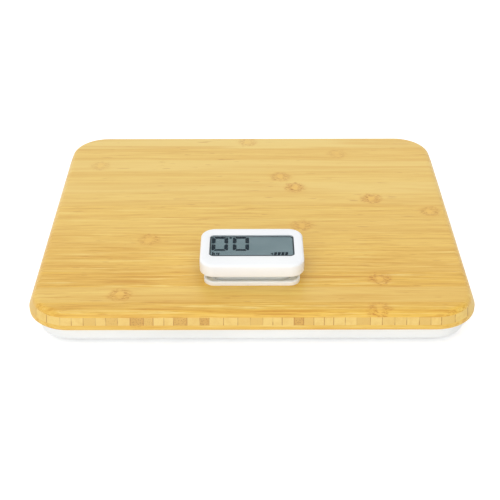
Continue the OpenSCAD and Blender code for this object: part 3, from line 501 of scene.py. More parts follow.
def bamboo_core():
    """Ends of the core's strips: pale pith with dark vessel dots, and a thin glue line between strips."""
    f = Finish("bamboo_core_ends", Coat_Weight=0.1, Coat_Roughness=0.3)
    shade, strip_x, strip_half = (f.attribute(name) for name in ("shade", "strip_x", "strip_half"))
    place = f.place()
    x, y, z = f.axes(place)
    from_seam = strip_half - f.math("ABSOLUTE", x - strip_x)
    worn = f.span(f.noise(place, 150.0, 1.0), 0.35, 0.6, 0.3, 1.0)
    seam = f.span(from_seam, SEAM_FADE * MM, 0.0) * worn
    dots = f.add("TexVoronoi", f.add("CombineXYZ", x, y * 0.02, z), out="Distance", Scale=1100.0)
    speckled = f.span(dots, 0.45, 0.20) * f.span(shade, 0.78, 0.94, 0.10, 0.90)
    clouds = f.noise(f.place((1, 0.05, 1)), 260.0, 3.0)
    f.layers(f.blend(shade * shade, srgb(237, 203, 117), srgb(217, 172, 82)),
             (f.span(clouds, 0.42, 0.68) * 0.5, (226, 184, 92)),
             (f.span(shade, 0.86, 0.94, 0.0, 0.45), (200, 146, 64)),
             (speckled * 0.75, (176, 120, 50)),
             (seam, (184, 126, 54)))
    f.rough(clouds, 0.3, 0.7, 0.52, 0.42)
    f.relief(f.math("SUBTRACT", 1.0, f.math("MAXIMUM", seam, speckled)), 0.04 * MM, 0.4)
    return f.material


def fit(piece, node, finish=None, body="scale_body"):
    """Hands a finished piece to its body, in place of its CAD node."""
    if finish:
        piece.data.materials.append(finish)
    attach(piece, body)
    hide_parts(node)
    return piece


bamboo = bamboo_face()
for ply, node, finish, slot in ((top_ply, "platform_top_ply", bamboo, "bamboo"),
                                (core_ply, "platform_core", bamboo_core(), "bamboo_core"),
                                (bottom_ply, "platform_bottom_ply", bamboo, "bamboo")):
    smooth(ply)
    fit(ply, node, finish)

# Base tray
# One deep tray of matt white ABS, injection moulded, with a rounded lower edge. It is screwed up
# against the platform and holds the wires, the board and the four load cells.
SOFT_EDGE, THIN_EDGE, FINE_EDGE = 0.25 * MM, 0.15 * MM, 0.12 * MM
CREASE = 30


def plastic(name, colour, grain, rough, depth):
    """Moulded plastic with a fine even grain and faint marks from the flow in the mould."""
    f = Finish(name, IOR=1.5)
    fine = f.noise(f.place(), grain, 3.0, 0.55)
    flow = f.noise(f.place((1, 1, 2.5)), 14.0, 2.0)
    f.colour(f.blend(f.span(flow, 0.3, 0.7), tint(colour, 0.965), tint(colour, 1.03)))
    f.rough(fine, 0.3, 0.7, rough - 0.05, rough + 0.05)
    f.relief(fine, depth)
    return f.material


def made_by_modifiers(piece):
    """Puts what the piece's modifiers make in the place of its mesh."""
    name = piece.data.name
    made = bpy.data.meshes.new_from_object(piece.evaluated_get(bpy.context.evaluated_depsgraph_get()))
    piece.modifiers.clear()
    piece.data = made
    made.name = name


def clean_copy(name, node, bevel):
    """Joined copy of a CAD node, its flat faces merged and its sharp edges broken. With a bevel of 0 its
    edges stay sharp, and with None its triangles stay as they are too."""
    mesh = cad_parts[node].data.copy()
    mesh.name = name
    mesh.materials.clear()
    bm = bmesh.new()
    bm.from_mesh(mesh)
    bmesh.ops.remove_doubles(bm, verts=bm.verts, dist=2e-6)
    if bevel is not None:
        bmesh.ops.dissolve_limit(bm, angle_limit=math.radians(0.5), verts=bm.verts, edges=bm.edges)
    bm.to_mesh(mesh)
    bm.free()
    piece = in_scene(name, mesh)
    if bevel:
        rounding = piece.modifiers.new("broken_edges", "BEVEL")
        rounding.width = bevel
        rounding.segments = 2
        rounding.limit_method = "ANGLE"
        rounding.angle_limit = math.radians(CREASE)
        made_by_modifiers(piece)
    smooth(piece, CREASE)
    return piece


def dress(node, finish, body="scale_body", name=None, bevel=SOFT_EDGE):
    """A clean copy of a CAD node in its finish, in the node's place."""
    return fit(clean_copy(name or node + "_finished", node, bevel), node, finish, body)


tray_plastic = plastic("matt_white_abs", srgb(248, 251, 252), 2600.0, 0.48, 0.012 * MM)
dress("base_tray", tray_plastic, name="tray")

# Screws
# Steel screws with a crossed recess, zinc plated, all of one pattern: eight hold the tray up to the platform,
# and the small ones hold the collar, the gear cover, the boards, the head's cover and the ends of the posts.
SCREW_SIZES = ("Face diameter", "Neck diameter", "Head height", "Shank diameter", "Length",
               "Washer diameter", "Washer height", "Thread step")
BASE_SCREW = {"face": 5.6, "neck": 7.0, "head": 2.2, "shank": 3.5, "length": 16.2, "thread": 1.3}
BOARD_SCREW = {"face": 3.2, "neck": 3.8, "head": 1.4, "shank": 2.0, "length": 5.0}
COLLAR_SCREW = {**BOARD_SCREW, "length": 14.0}
COVER_SCREW = {"face": 2.96, "neck": 1.6, "head": 0.7, "shank": 1.6, "length": 3.4, "thread": 0.5}
POST_SCREW = {"face": 3.4, "neck": 4.0, "head": 1.4, "shank": 2.0, "length": 8.1, "washer": (6.2, 0.7)}
RECESS_BARS = ((0.56, 0.12, 1.16), (0.12, 0.56, 1.1))  # two shares of the face's diameter, one of the head
COVER_SCREW_AT = (30.2, 18.1)
UP, DOWN, BACK = (0, 0, 1), (0, 0, -1), (0, 1, 0)


def steel(name, colour, rough, brushed=(1, 1, 1), grain=900.0, depth=0.004 * MM):
    """Plated or ground steel, with a fine grain that is stretched where it was brushed or drawn."""
    f = Finish(name, Metallic=1.0)
    fine = f.noise(f.place(brushed), grain, 3.0, 0.6)
    cloud = f.noise(f.place(), 120.0, 2.0)
    f.colour(f.blend(f.span(cloud, 0.35, 0.68), tint(colour, 0.86), colour))
    f.rough(fine, 0.3, 0.7, rough - 0.08, rough + 0.08)
    f.relief(fine, depth)
    return f.material


def screw_tree():
    """Geometry Nodes that stand a screw on each point, its face there and its tip along the point's way."""
    group = bpy.data.node_groups.new("cross_recess_screw", "GeometryNodeTree")
    inputs = [("Places", "Geometry")] + [(size, "Float") for size in SCREW_SIZES] + [("Finish", "Material")]
    for label, kind in inputs:
        group.interface.new_socket(label, in_out="INPUT", socket_type="NodeSocket" + kind)
    group.interface.new_socket("Screws", in_out="OUTPUT", socket_type="NodeSocketGeometry")
    g = Tree(group)
    given = {socket.name: Value(g, socket) for socket in g.node("NodeGroupInput").outputs if socket.name}
    face, neck, head, shank, length, washer, thick, step = (given[size] for size in SCREW_SIZES)
    under = length - head

    def moved(mesh, height):
        return g.add("GeometryNodeTransform", Geometry=mesh, Translation=g.add("CombineXYZ", Z=height))

    recess = g.node("GeometryNodeMeshBoolean", operation="DIFFERENCE")
    cone = g.add("GeometryNodeMeshCone", Vertices=36, Depth=head,
                 Radius_Bottom=face * 0.5, Radius_Top=neck * 0.5)
    g.put(recess.inputs[0], cone)
    for across, along, deep in RECESS_BARS:
        size = g.add("CombineXYZ", face * across, face * along, head * deep)
        g.put(recess.inputs[1], g.add("GeometryNodeMeshCube", Size=size))
    rod = g.add("GeometryNodeMeshCylinder", Vertices=24, Radius=shank * 0.43, Depth=under)
    disc = g.add("GeometryNodeMeshCylinder", Vertices=36, Radius=washer * 0.5, Depth=thick)
    spiral = g.node("GeometryNodeCurveSpiral", Resolution=14, Rotations=under / step - 0.6,
                    Start_Radius=shank * 0.42, End_Radius=shank * 0.42, Height=under - step * 0.6)
    crest = g.add("GeometryNodeCurvePrimitiveCircle", Resolution=4, Radius=shank * 0.075)
    wound = g.add("GeometryNodeCurveToMesh", Curve=moved(Value(g, spiral.outputs[0]), head),
                  Profile_Curve=crest, Fill_Caps=True)
    whole = g.node("GeometryNodeJoinGeometry")
    for mesh in (Value(g, recess.outputs["Mesh"]), moved(rod, head + under * 0.5), wound,
                 moved(disc, head + thick * 0.5)):
        g.put(whole.inputs[0], mesh)
    way = g.add("GeometryNodeInputNamedAttribute", out="Attribute", data_type="FLOAT_VECTOR", Name="way")
    turned = g.add("FunctionNodeAlignRotationToVector", axis="Z", Vector=way)
    stand = g.add("GeometryNodeInstanceOnPoints", Points=given["Places"], Instance=Value(g, whole.outputs[0]),
                  Rotation=turned)
    painted = g.add("GeometryNodeSetMaterial", Geometry=g.add("GeometryNodeRealizeInstances", stand),
                    Material=given["Finish"])
    g.node("NodeGroupOutput", painted)
    return group


screw_nodes = screw_tree()


def from_nodes(name, mesh, tree, sizes):
    """Plain mesh that a Geometry Nodes tree makes on a mesh, with its inputs set by their labels."""
    piece = in_scene(name, mesh)
    maker = piece.modifiers.new("maker", "NODES")
    maker.node_group = tree
    for socket in tree.interface.items_tree:
        if socket.item_type == "SOCKET" and socket.in_out == "INPUT" and socket.name in sizes:
            maker[socket.identifier] = sizes[socket.name]
    bpy.context.view_layer.update()
    made_by_modifiers(piece)
    piece.data.name = name
    return piece


def screws(name, places, way, face, neck, head, shank, length, washer=None, thread=0.8):
    """Screws at places in mm, pointing along their way. Without a washer, its disc stays inside the shank."""
    points = bpy.data.meshes.new(name + "_places")
    points.from_pydata([tuple(v * MM for v in place) for place in places], [], [])
    ways = points.attributes.new("way", "FLOAT_VECTOR", "POINT")
    ways.data.foreach_set("vector", list(way) * len(places))
    sizes = (face, neck, head, shank, length, *(washer or (shank * 0.8, 0.1)), thread)
    inputs = {label: size * MM for label, size in zip(SCREW_SIZES, sizes)}
    piece = from_nodes(name, points, screw_nodes, {**inputs, "Finish": zinc})
    smooth(piece, CREASE)
    return piece


def both_signs(x, y, z):
    return [(i * x, j * y, z) for i in (-1, 1) for j in (-1, 1)]


def about_head(places):
    return [(x, y + head_y, z) for x, y, z in places]


zinc = steel("zinc_plated_steel", srgb(205, 208, 210), 0.32)
base_places = both_signs(88, 108, 7.8) + [(-134, 0, 7.8), (134, 0, 7.8), (-50, 20, 7.8), (50, 20, 7.8)]
gear_cover_places = [(x, -12.6, z) for x in (-7.175, 12.15) for z in (8.3, 24.75)]
board_places = [(x, y - 32, 10.6) for x in (-28, 28) for y in (-14, 14)]
post_places = [(20.4, -8.6, 14.85), (-20.4, 8.6, 14.85)]
for node, body, places, way, size in (
        ("base_screws", "scale_body", base_places, UP, BASE_SCREW),
        ("collar_screws", "scale_body", about_head(both_signs(26.5, 15.5, 12.0)), UP, COLLAR_SCREW),
        ("gear_cover_screws", "scale_body", about_head(gear_cover_places), BACK, COVER_SCREW),
        ("board_screws", "scale_body", board_places, DOWN, BOARD_SCREW),
        ("post_screws", "display_head", about_head(post_places), UP, POST_SCREW)):
    fit(screws(node + "_finished", places, way, **size), node, body=body)


def merged(name, pieces):
    """One piece from several, with their meshes joined."""
    bm = bmesh.new()
    for piece in pieces:
        bm.from_mesh(piece.data)
    whole = in_scene(name, pieces[0].data.copy())
    bm.to_mesh(whole.data)
    bm.free()
    whole.data.name = name
    for piece in pieces:
        bpy.data.objects.remove(piece)
    return whole


rack_places = about_head([(-19.675, -5.7, 35.85), (-19.675, -2.5, 35.85)])
head_screws = merged("head_screws_finished", [
    screws("cover_heads", about_head(both_signs(*COVER_SCREW_AT, 40.0)), UP,
           **{**COVER_SCREW, "length": 4.1}),
    screws("rack_heads", rack_places, UP, **{**COVER_SCREW, "length": 2.3})])
smooth(head_screws, CREASE)
fit(head_screws, "head_screws", body="display_head")

# Feet
# Each foot is a white moulded cup whose stake is melted over the load cell's tongue, with a grey rubber pad
# plugged into it. Rings are moulded into the pad, which grips the floor.
FOOT_PLACES = {"front_left": (-116, -100), "front_right": (116, -100),
               "back_left": (-116, 100), "back_right": (116, 100)}
CUP_PROFILE = [(0, 2.6), (14.5, 2.6), (14.5, 2.0), (16.8, 2.0), (17.0, 2.2), (17.0, 4.1), (16.7, 4.4),
               (5.6, 4.4), (5.1, 4.6), (5.0, 5.0), (5.0, 7.5), (1.5, 7.5), (1.5, 9.05), (2.2, 9.05),
               (2.3, 9.2), (2.2, 9.6), (1.6, 9.8), (0, 9.85)]
PAD_MIDDLE = [(0, 0.5), (2.4, 0.5), (2.7, 0.0)]
PAD_RINGS, PAD_FIRST_RING, PAD_RING_STEP = 6, 4.2, 2.0
PAD_RING = [(0, 0.0), (0.25, 0.35), (0.75, 0.35), (1.0, 0.0)]
PAD_EDGE = [(16.6, 0.0), (16.88, 0.12), (17.0, 0.4), (17.0, 1.9), (16.9, 2.0), (14.35, 2.0), (14.35, 2.55),
            (14.25, 2.6), (0, 2.6)]


def lathe(name, profile, place, steps=64, closed=False, lying=False):
    """Piece turned from its profile of radius and height, in mm, about an upright or a lying axis."""
    turn = Matrix.Rotation(math.radians(90), 3, "Y") if lying else Matrix.Identity(3)
    bm = bmesh.new()
    rows = []
    for radius, height in profile:
        turns = [math.tau * k / steps for k in range(steps if radius > 0 else 1)]
        points = [Vector((radius * math.cos(t), radius * math.sin(t), height)) for t in turns]
        rows.append([bm.verts.new((turn @ point + Vector(place)) * MM) for point in points])
    skin(bm, rows, closed)
    piece = finished_mesh(name, bm)
    smooth(piece, CREASE)
    return piece


def rubber(name, colour, rough, grain=1800.0):
    """Matt rubber with a fine dusty bloom."""
    f = Finish(name, Specular_IOR_Level=0.35)
    fine = f.noise(f.place(), grain, 4.0, 0.6)
    bloom = f.noise(f.place(), 90.0, 3.0, 0.6)
    f.colour(f.blend(f.span(bloom, 0.45, 0.75), colour, tint(colour, 1.35, 0.01)))
    f.rough(fine, 0.3, 0.7, rough - 0.08, rough + 0.05)
    f.relief(fine, 0.02 * MM)
    return f.material


pad_profile = list(PAD_MIDDLE)
for start in (PAD_FIRST_RING + PAD_RING_STEP * k for k in range(PAD_RINGS)):
    pad_profile += [(start + radius, height) for radius, height in PAD_RING]
pad_profile += PAD_EDGE
cup_plastic = plastic("white_cup_abs", srgb(240, 241, 240), 2200.0, 0.42, 0.010 * MM)
pad_rubber = rubber("grey_pad_rubber", srgb(112, 114, 115), 0.78)
for corner, (foot_x, foot_y) in FOOT_PLACES.items():
    for part, profile, slot, finish in (("foot_cup_", CUP_PROFILE, "white_plastic", cup_plastic),
                                        ("foot_pad_", pad_profile, "pad_rubber", pad_rubber)):
        piece = lathe(part + "finished_" + corner, profile, (foot_x, foot_y, 0))
        fit(piece, part + corner, finish, "foot_" + corner)

# Load cells
# A square spring steel plate under each corner has a tongue cut free on three sides. A strain gauge in grey
# resin sits on the tongue's root, a white frame clamps the plate down, and a grey sheathed cable runs to the
# main board.
CABLE_SHEATH = 1.6
CABLE_BEND = 1.8
CELL_CORE, CELL_END, CABLE_FLOOR = 105.3, 94.95, 5.95  # along X, along X, and height
PLUGS = {"front": -39, "back": -25, "high": 10.8}

spring_plate = steel("rolled_spring_steel", srgb(178, 184, 190), 0.34, brushed=(0.06, 1, 1), grain=1500.0)
clamp_plastic = plastic("white_clamp_abs", srgb(236, 237, 236), 2400.0, 0.5, 0.012 * MM)


def mottled(name, noise, first, second, rough, stretch=(1, 1, 1), ramp=(0.3, 0.7), depth=None, **constants):
    """A surface in two near colours that follow one noise, as do its roughness and its relief."""
    f = Finish(name, **constants)
    cloud = f.noise(f.place(stretch), *noise)
    f.tones(f.span(cloud, *ramp), first, second)
    f.rough(cloud, 0.3, 0.7, *rough)
    if depth:
        f.relief(cloud, depth)
    return f.material


def rounded_path(points, radius, steps=8):
    """A route in mm with its corners rounded as on the CAD cable, in finer steps."""
    path = [Vector(points[0])]
    for a, b, c in zip(points, points[1:], points[2:]):
        a, b, c = Vector(a), Vector(b), Vector(c)
        u, v = (a - b).normalized(), (c - b).normalized()
        for t in (k / steps for k in range(steps + 1)):
            path.append(b + radius * ((1 - t) ** 2 * u + t * t * v))
    return path + [Vector(points[-1])]


def ahead_at(path, i):
    """The path's way at one of its points."""
    return (path[min(i + 1, len(path) - 1)] - path[max(i - 1, 0)]).normalized()


def wire(name, path, radius, sides=12):
    """Round wire along a path in mm, kept from twisting, with flat ends."""
    bm = bmesh.new()
    turns = [math.tau * k / sides for k in range(sides)]
    rows, side = [], None
    for i, point in enumerate(path):
        ahead = ahead_at(path, i)
        side = (ahead.orthogonal() if side is None else side - ahead * side.dot(ahead)).normalized()
        up = ahead.cross(side)
        spokes = [math.cos(t) * side + math.sin(t) * up for t in turns]
        rows.append([bm.verts.new((point + radius * spoke) * MM) for spoke in spokes])
    skin(bm, rows)
    bm.faces.new(reversed(rows[0]))
    bm.faces.new(rows[-1])
    piece = finished_mesh(name, bm)
    smooth(piece, 50)
    return piece


# the gauges' potting resin has a sunken, cloudy skin
gauge_resin = mottled("grey_potting_resin", (700.0, 3.0), (214, 212, 205), (190, 190, 186), (0.3, 0.42),
                      ramp=(0.35, 0.7), depth=0.08 * MM, Subsurface_Weight=0.1, Subsurface_Scale=0.5 * MM)
sheath = rubber("grey_cable_sheath", srgb(96, 98, 100), 0.5)
for corner, (foot_x, foot_y) in FOOT_PLACES.items():
    dress("load_cell_" + corner, spring_plate, bevel=FINE_EDGE)
    dress("cell_clamp_" + corner, clamp_plastic, bevel=0.3 * MM)
    side = math.copysign(1, foot_x)
    plug_y = PLUGS["front" if foot_y < 0 else "back"]
    route = [(CELL_CORE, foot_y, 9.9), (CELL_END, foot_y, 9.9),
             (92.1, foot_y, CABLE_FLOOR), (92.1, plug_y, CABLE_FLOOR), (41, plug_y, CABLE_FLOOR),
             (36, plug_y, PLUGS["high"]), (32.3, plug_y, PLUGS["high"])]
    path = [Vector((p.x * side, p.y, p.z)) for p in rounded_path(route, CABLE_BEND)]
    cable = wire("cell_cable_finished_" + corner, path, CABLE_SHEATH / 2)
    fit(cable, "cell_cable_" + corner, sheath)
dress("strain_gauges", gauge_resin, bevel=0.3 * MM)

# Display head
# One smooth white moulded shell with well rounded corners and edges. Its top is cut out for the window, and
# four bosses inside take the cover's screws.
HEAD_SIZE = (70.4, 48.0, 10.0)
HEAD_LOW, HEAD_HIGH, ROOF_UNDER = 36.8, 46.0, 44.7
HEAD_LOW_ROUND, HEAD_TOP_ROUND = 0.5, 1.8
SKIRT = 2.0
WINDOW_Y = head_y + 1.5
WINDOW_CUT = (57.7, 27.0, 3.15)
BOSS = (2.2, 0.83)
BOSS_LOW, BOSS_HIGH = 41.2, 44.9


def ring_in(size, inset, z, y):
    w, d, r = size
    return (w - 2 * inset, d - 2 * inset, r - inset, z, y)


def quarter(steps):
    return [math.pi / 2 * k / steps for k in range(steps + 1)]


def round_up(size, radius, z, y, steps=4):
    """Rings of a rounded lower edge, from its underside up."""
    return [ring_in(size, radius * (1 - math.sin(t)), z + radius * (1 - math.cos(t)), y)
            for t in quarter(steps)]


def round_over(size, radius, z, y, steps=8):
    """Rings of a rounded upper edge, up to its face."""
    return [ring_in(size, radius * (1 - math.cos(t)), z - radius * (1 - math.sin(t)), y)
            for t in quarter(steps)]


inside = (HEAD_SIZE[0] - 2 * SKIRT, HEAD_SIZE[1] - 2 * SKIRT, HEAD_SIZE[2] - SKIRT)
shell_rings = round_up(HEAD_SIZE, HEAD_LOW_ROUND, HEAD_LOW, head_y)
shell_rings += round_over(HEAD_SIZE, HEAD_TOP_ROUND, HEAD_HIGH, head_y)
for inset, z in ((-0.3, HEAD_HIGH), (-0.09, HEAD_HIGH - 0.09), (0.0, HEAD_HIGH - 0.3), (0.0, ROOF_UNDER)):
    shell_rings.append(ring_in(WINDOW_CUT, inset, z, WINDOW_Y))
for inset, z in ((0.0, ROOF_UNDER), (0.0, HEAD_LOW + 0.4), (-0.25, HEAD_LOW)):
    shell_rings.append(ring_in(inside, inset, z, head_y))
shell = loft("shell", shell_rings, steps=20, closed=True)
boss_profile = [(BOSS[1], BOSS_LOW), (BOSS[0] - 0.1, BOSS_LOW), (BOSS[0], BOSS_LOW + 0.2),
                (BOSS[0], BOSS_HIGH), (BOSS[1], BOSS_HIGH)]
bosses = [lathe("boss", boss_profile, place, steps=32, closed=True)
          for place in about_head(both_signs(*COVER_SCREW_AT, 0))]
head_shell = merged("head_shell_finished", [shell] + bosses)
smooth(head_shell, 40)
head_plastic = plastic("smooth_white_abs", srgb(249, 251, 254), 1400.0, 0.34, 0.004 * MM)
fit(head_shell, "head_shell", head_plastic, "display_head")
cover_abs = plastic("white_cover_abs", srgb(244, 246, 243), 2200.0, 0.46, 0.010 * MM)
dress("head_cover", cover_abs, "display_head")

# Window and display
# A clear acrylic window with a thin dark printed border sits nearly flush in the shell on a foam frame. Under
# it lies the grey liquid crystal glass, which shows 00 with a point, a unit and a charge mark of four blocks.
LCD_SIZE = (59.0, 28.3, 1.0)
LCD_LOW, LCD_HIGH = 42.9, 44.7
LCD_ROUND = 0.1
INK_LOW, INK_HIGH = LCD_HIGH - 0.05, 44.74
WINDOW_SIZE = (57.4, 26.7, 3.0)
WINDOW_LOW, WINDOW_HIGH = 44.9, 45.7
PANE_ROUND = {"low": 0.12, "high": 0.2}
BORDER = {"side": 0.4, "front": 1.1, "rear": 0.35}
DIGIT = {"width": 11.2, "height": 17.7, "upright": 2.6, "level": 2.2, "gap": 0.15, "break": 1.1}
DIGIT_PLACES = [(1.2, 0.8), (15.6, 0.8)]
POINT = [(13.2, 1.1), (14.8, 1.1), (14.8, 3.1), (13.2, 3.1)]
UNIT_STROKES = [  # both ends of each stroke of the unit, and its width
    (2.2, 20.4, 2.2, 23.5, 0.95), (2.8, 22.2, 3.5, 21.3, 0.85), (2.9, 22.3, 3.7, 23.4, 0.85),
    (4.9, 21.2, 6.3, 21.2, 0.8), (4.9, 22.7, 6.3, 22.7, 0.8), (5.0, 24.2, 6.3, 24.2, 0.8),
    (4.9, 21.2, 4.9, 22.7, 0.78), (6.3, 21.2, 6.3, 24.2, 0.78),
]
CHARGE_ARROW = [(41.2, 22.3), (43.0, 20.6), (43.0, 24.0)]
CHARGE_BLOCK = [(0.6, 20.2), (2.5, 20.2), (1.9, 24.3), (0, 24.3)]
CHARGE_START, CHARGE_STEP, CHARGE_BLOCKS = 43.4, 2.5, 4


def display_place(x, y):
    """A point on the display, from the window's left and back edges."""
    return (x - WINDOW_SIZE[0] / 2, WINDOW_Y + WINDOW_SIZE[1] / 2 - y)


def segments_of_zero(x, y):
    """The six lit segments of a nought, as outlines with cut corners."""
    w, h, up, lev, gap, rest = DIGIT.values()
    cut = up * 0.55
    level = [[(cut + gap, 0), (w - cut - gap, 0), (w - up - gap * 0.4, lev), (up + gap * 0.4, lev)]]
    level += [[(px, h - py) for px, py in reversed(level[0])]]
    half = h / 2 - rest / 2
    upright = [(0, cut + gap), (cut * 0.5, gap + 0.3), (up, lev + gap), (up, half - up * 0.35),
               (up * 0.6, half), (0, half)]
    sides = []
    for flip_x in (False, True):
        for flip_y in (False, True):
            sides.append([((w - px) if flip_x else px, (h - py) if flip_y else py) for px, py in upright])
    return [[(x + px, y + py) for px, py in outline] for outline in level + sides]


def stroke(x0, y0, x1, y1, width):
    """A straight stroke as an outline."""
    along = Vector((x1 - x0, y1 - y0)).normalized() * width / 2
    across = Vector((-along.y, along.x))
    start, stop = Vector((x0, y0)) - along, Vector((x1, y1)) + along
    return [tuple(start + across), tuple(start - across), tuple(stop - across), tuple(stop + across)]


inked = [outline for place in DIGIT_PLACES for outline in segments_of_zero(*place)]
inked += [POINT] + [stroke(*ends) for ends in UNIT_STROKES] + [CHARGE_ARROW]
for start in (CHARGE_START + CHARGE_STEP * k for k in range(CHARGE_BLOCKS)):
    inked.append([(start + px, py) for px, py in CHARGE_BLOCK])


def display_glass():
    """The glass's slab with the inked segments a little proud of it, and an ink value on each face."""
    rings = round_up(LCD_SIZE, LCD_ROUND, LCD_LOW, WINDOW_Y, 2)
    rings += round_over(LCD_SIZE, LCD_ROUND, LCD_HIGH, WINDOW_Y, 2)
    slab = loft("slab", rings, steps=4)
    bm = bmesh.new()
    bm.from_mesh(slab.data)
    bpy.data.objects.remove(slab)
    plain = len(bm.faces)
    for outline in inked:
        places = [display_place(*point) for point in outline]
        rows = [[bm.verts.new((px * MM, py * MM, z * MM)) for px, py in places] for z in (INK_LOW, INK_HIGH)]
        for row in rows:
            bm.faces.new(row)
        skin(bm, rows)
    values = [float(k >= plain) for k in range(len(bm.faces))]
    piece = finished_mesh("display_glass", bm)
    note(piece, "ink", values)
    return piece


def display_finish():
    """Grey-green polariser film with a faint cloud, and near-black segments."""
    f = Finish("liquid_crystal_display", Specular_IOR_Level=0.06)
    cloud = f.noise(f.place((1, 1.6, 1)), 45.0, 2.0)
    grain = f.noise(f.place(), 5200.0, 2.0)
    film = f.blend(f.span(cloud, 0.3, 0.7), srgb(125, 146, 151), srgb(135, 155, 160))
    f.layers(f.blend(grain * 0.12, film, srgb(90, 110, 116)), (f.attribute("ink"), (8, 30, 42)))
    f.rough(grain, 0.3, 0.7, 0.36, 0.46)
    return f.material


def foam_tape():
    """Dark foam with open cells."""
    f = Finish("black_foam_tape", Specular_IOR_Level=0.2)
    cells = f.add("TexVoronoi", f.place(), out="Distance", Scale=4200.0)
    f.tones(f.span(cells, 0.2, 0.6), (66, 74, 78), (92, 100, 104))
    f.rough(cells, 0.0, 0.8, 0.95, 0.8)
    f.relief(cells, 0.05 * MM)
    return f.material


def paint_where(piece, finish, chosen):
    """Gives another finish to the faces whose middle in mm and normal pass a test."""
    piece.data.materials.append(finish)
    index = len(piece.data.materials) - 1
    for face in piece.data.polygons:
        if chosen(face.center / MM, face.normal):
            face.material_index = index


# the window is thin enough to keep the display's colour, with faint polishing marks
clear_acrylic = mottled("clear_acrylic", (900.0, 2.0), (96, 108, 110), (112, 122, 124), (0.06, 0.12),
                        stretch=(1, 0.2, 1), IOR=1.49, Specular_IOR_Level=0.25, Alpha=0.05)
# its polished edge faces are painted pale, a painted reflection: the display's image that they mirror inward,
# made light enough to show through the shade in the shell's cut
painted_edge_reflection = mottled("painted_edge_reflection", (500.0, 2.0), (200, 218, 223), (214, 230, 234), (0.3, 0.4),
                       stretch=(1, 1, 6), Specular_IOR_Level=0.2)
border_ink = mottled("window_border_ink", (1400.0, 3.0), (38, 48, 52), (58, 68, 72), (0.35, 0.5),
                     Specular_IOR_Level=0.2)
fit(display_glass(), "lcd_panel", display_finish(), "display_head")
side, front, rear = BORDER.values()
pane_rings = round_up(WINDOW_SIZE, PANE_ROUND["low"], WINDOW_LOW, WINDOW_Y, 3)
pane_rings += round_over(WINDOW_SIZE, PANE_ROUND["high"], WINDOW_HIGH, WINDOW_Y, 4)
pane_rings.append((WINDOW_SIZE[0] - 2 * side, WINDOW_SIZE[1] - front - rear, WINDOW_SIZE[2] - side,
                   WINDOW_HIGH, WINDOW_Y + (front - rear) / 2))
pane = loft("window_finished", pane_rings, steps=12)
smooth(pane, 40)
pane.data.materials.append(clear_acrylic)
pane_middle = Vector((0, WINDOW_Y, WINDOW_HIGH))
# the pane's side faces take the painted reflection of the display
paint_where(pane, painted_edge_reflection, lambda m, n: abs(n.z) < 0.4)
paint_where(pane, border_ink, lambda m, n: n.z > 0.9 and (m - pane_middle).length > 5)
fit(pane, "display_window", body="display_head")
dress("window_gasket", foam_tape(), "display_head", bevel=0)

# Collar
# A white moulded ring with a raised rim and a shallow well stands on the platform round the head's stem. Its
# sleeve goes down through the bamboo, and four screws pull it tight from below.
collar_plastic = plastic("white_collar_abs", srgb(248, 252, 254), 1800.0, 0.4, 0.008 * MM)
dress("collar", collar_plastic, bevel=THIN_EDGE)

# Gear case
# Light grey moulded case clamped under the platform, with a cover on its front that carries the axles' ends.
# The head's rack goes through it, and two columns guide the head's posts.
case_plastic = plastic("light_grey_abs", srgb(196, 199, 200), 2000.0, 0.46, 0.012 * MM)
gear_cover_plastic = plastic("grey_cover_abs", srgb(206, 208, 209), 2000.0, 0.46, 0.012 * MM)
dress("gear_case", case_plastic, bevel=0)
dress("gear_cover", gear_cover_plastic, bevel=THIN_EDGE)

# Rack and gears
# The rack is moulded in acetal and screwed under the head's cover. It turns the first gear, which drives the
# second, which drives a brass pinion on the generator's shaft. The axles are ground steel pins.
acetal = plastic("natural_acetal", srgb(238, 232, 214), 2600.0, 0.36, 0.004 * MM)
ground_steel = steel("ground_steel", srgb(206, 209, 212), 0.2, brushed=(1, 0.08, 1), grain=2400.0)
brass = steel("turned_brass", srgb(212, 176, 96), 0.28, brushed=(1, 0.1, 1), grain=1600.0)
dress("rack", acetal, "display_head", bevel=0)
dress("first_gear", acetal, "first_wheel", bevel=0)
dress("second_gear", acetal, "second_wheel", bevel=0)
for axle in ("first_axle", "second_axle"):
    dress(axle, ground_steel, bevel=FINE_EDGE)
dress("rotor_pinion", brass, "generator_rotor", bevel=0)

# Generator
# A plated steel can holds a ring of steel pole fingers, a green bobbin wound with enamelled copper, and a
# black ferrite magnet on a steel shaft. Two twisted leads, red and black, go from it to the main board.
LEAD_ROUTE = [(2.5, -67.5, 16.525), (2.5, -63.5, 16.525), (2.5, -59.5, 11.2), (2.5, -49.1, 11.2)]
LEAD_BEND = 1.5
LEAD_TURN = 3.2
LEAD_STEP = 0.4
LEAD_APART = 0.3
LEAD_RADIUS = 0.29


def enamelled_copper():
    """Turns of fine copper wire, seen as bands along the shaft's direction."""
    f = Finish("enamelled_copper", Metallic=0.7, Coat_Weight=0.4, Coat_Roughness=0.12)
    turns = f.add("TexWave", f.place(), out="Fac", bands_direction="Y", Scale=1300.0, Distortion=0.6)
    f.tones(turns, (138, 66, 28), (206, 122, 62))
    f.rough(turns, 0.0, 1.0, 0.42, 0.24)
    f.relief(turns, 0.04 * MM)
    return f.material


can_steel = steel("plated_can_steel", srgb(200, 203, 206), 0.24, brushed=(1, 0.05, 1), grain=1400.0)
core_steel = steel("core_steel", srgb(132, 136, 142), 0.42)
bobbin_plastic = plastic("green_bobbin_plastic", srgb(58, 128, 92), 2200.0, 0.4, 0.006 * MM)
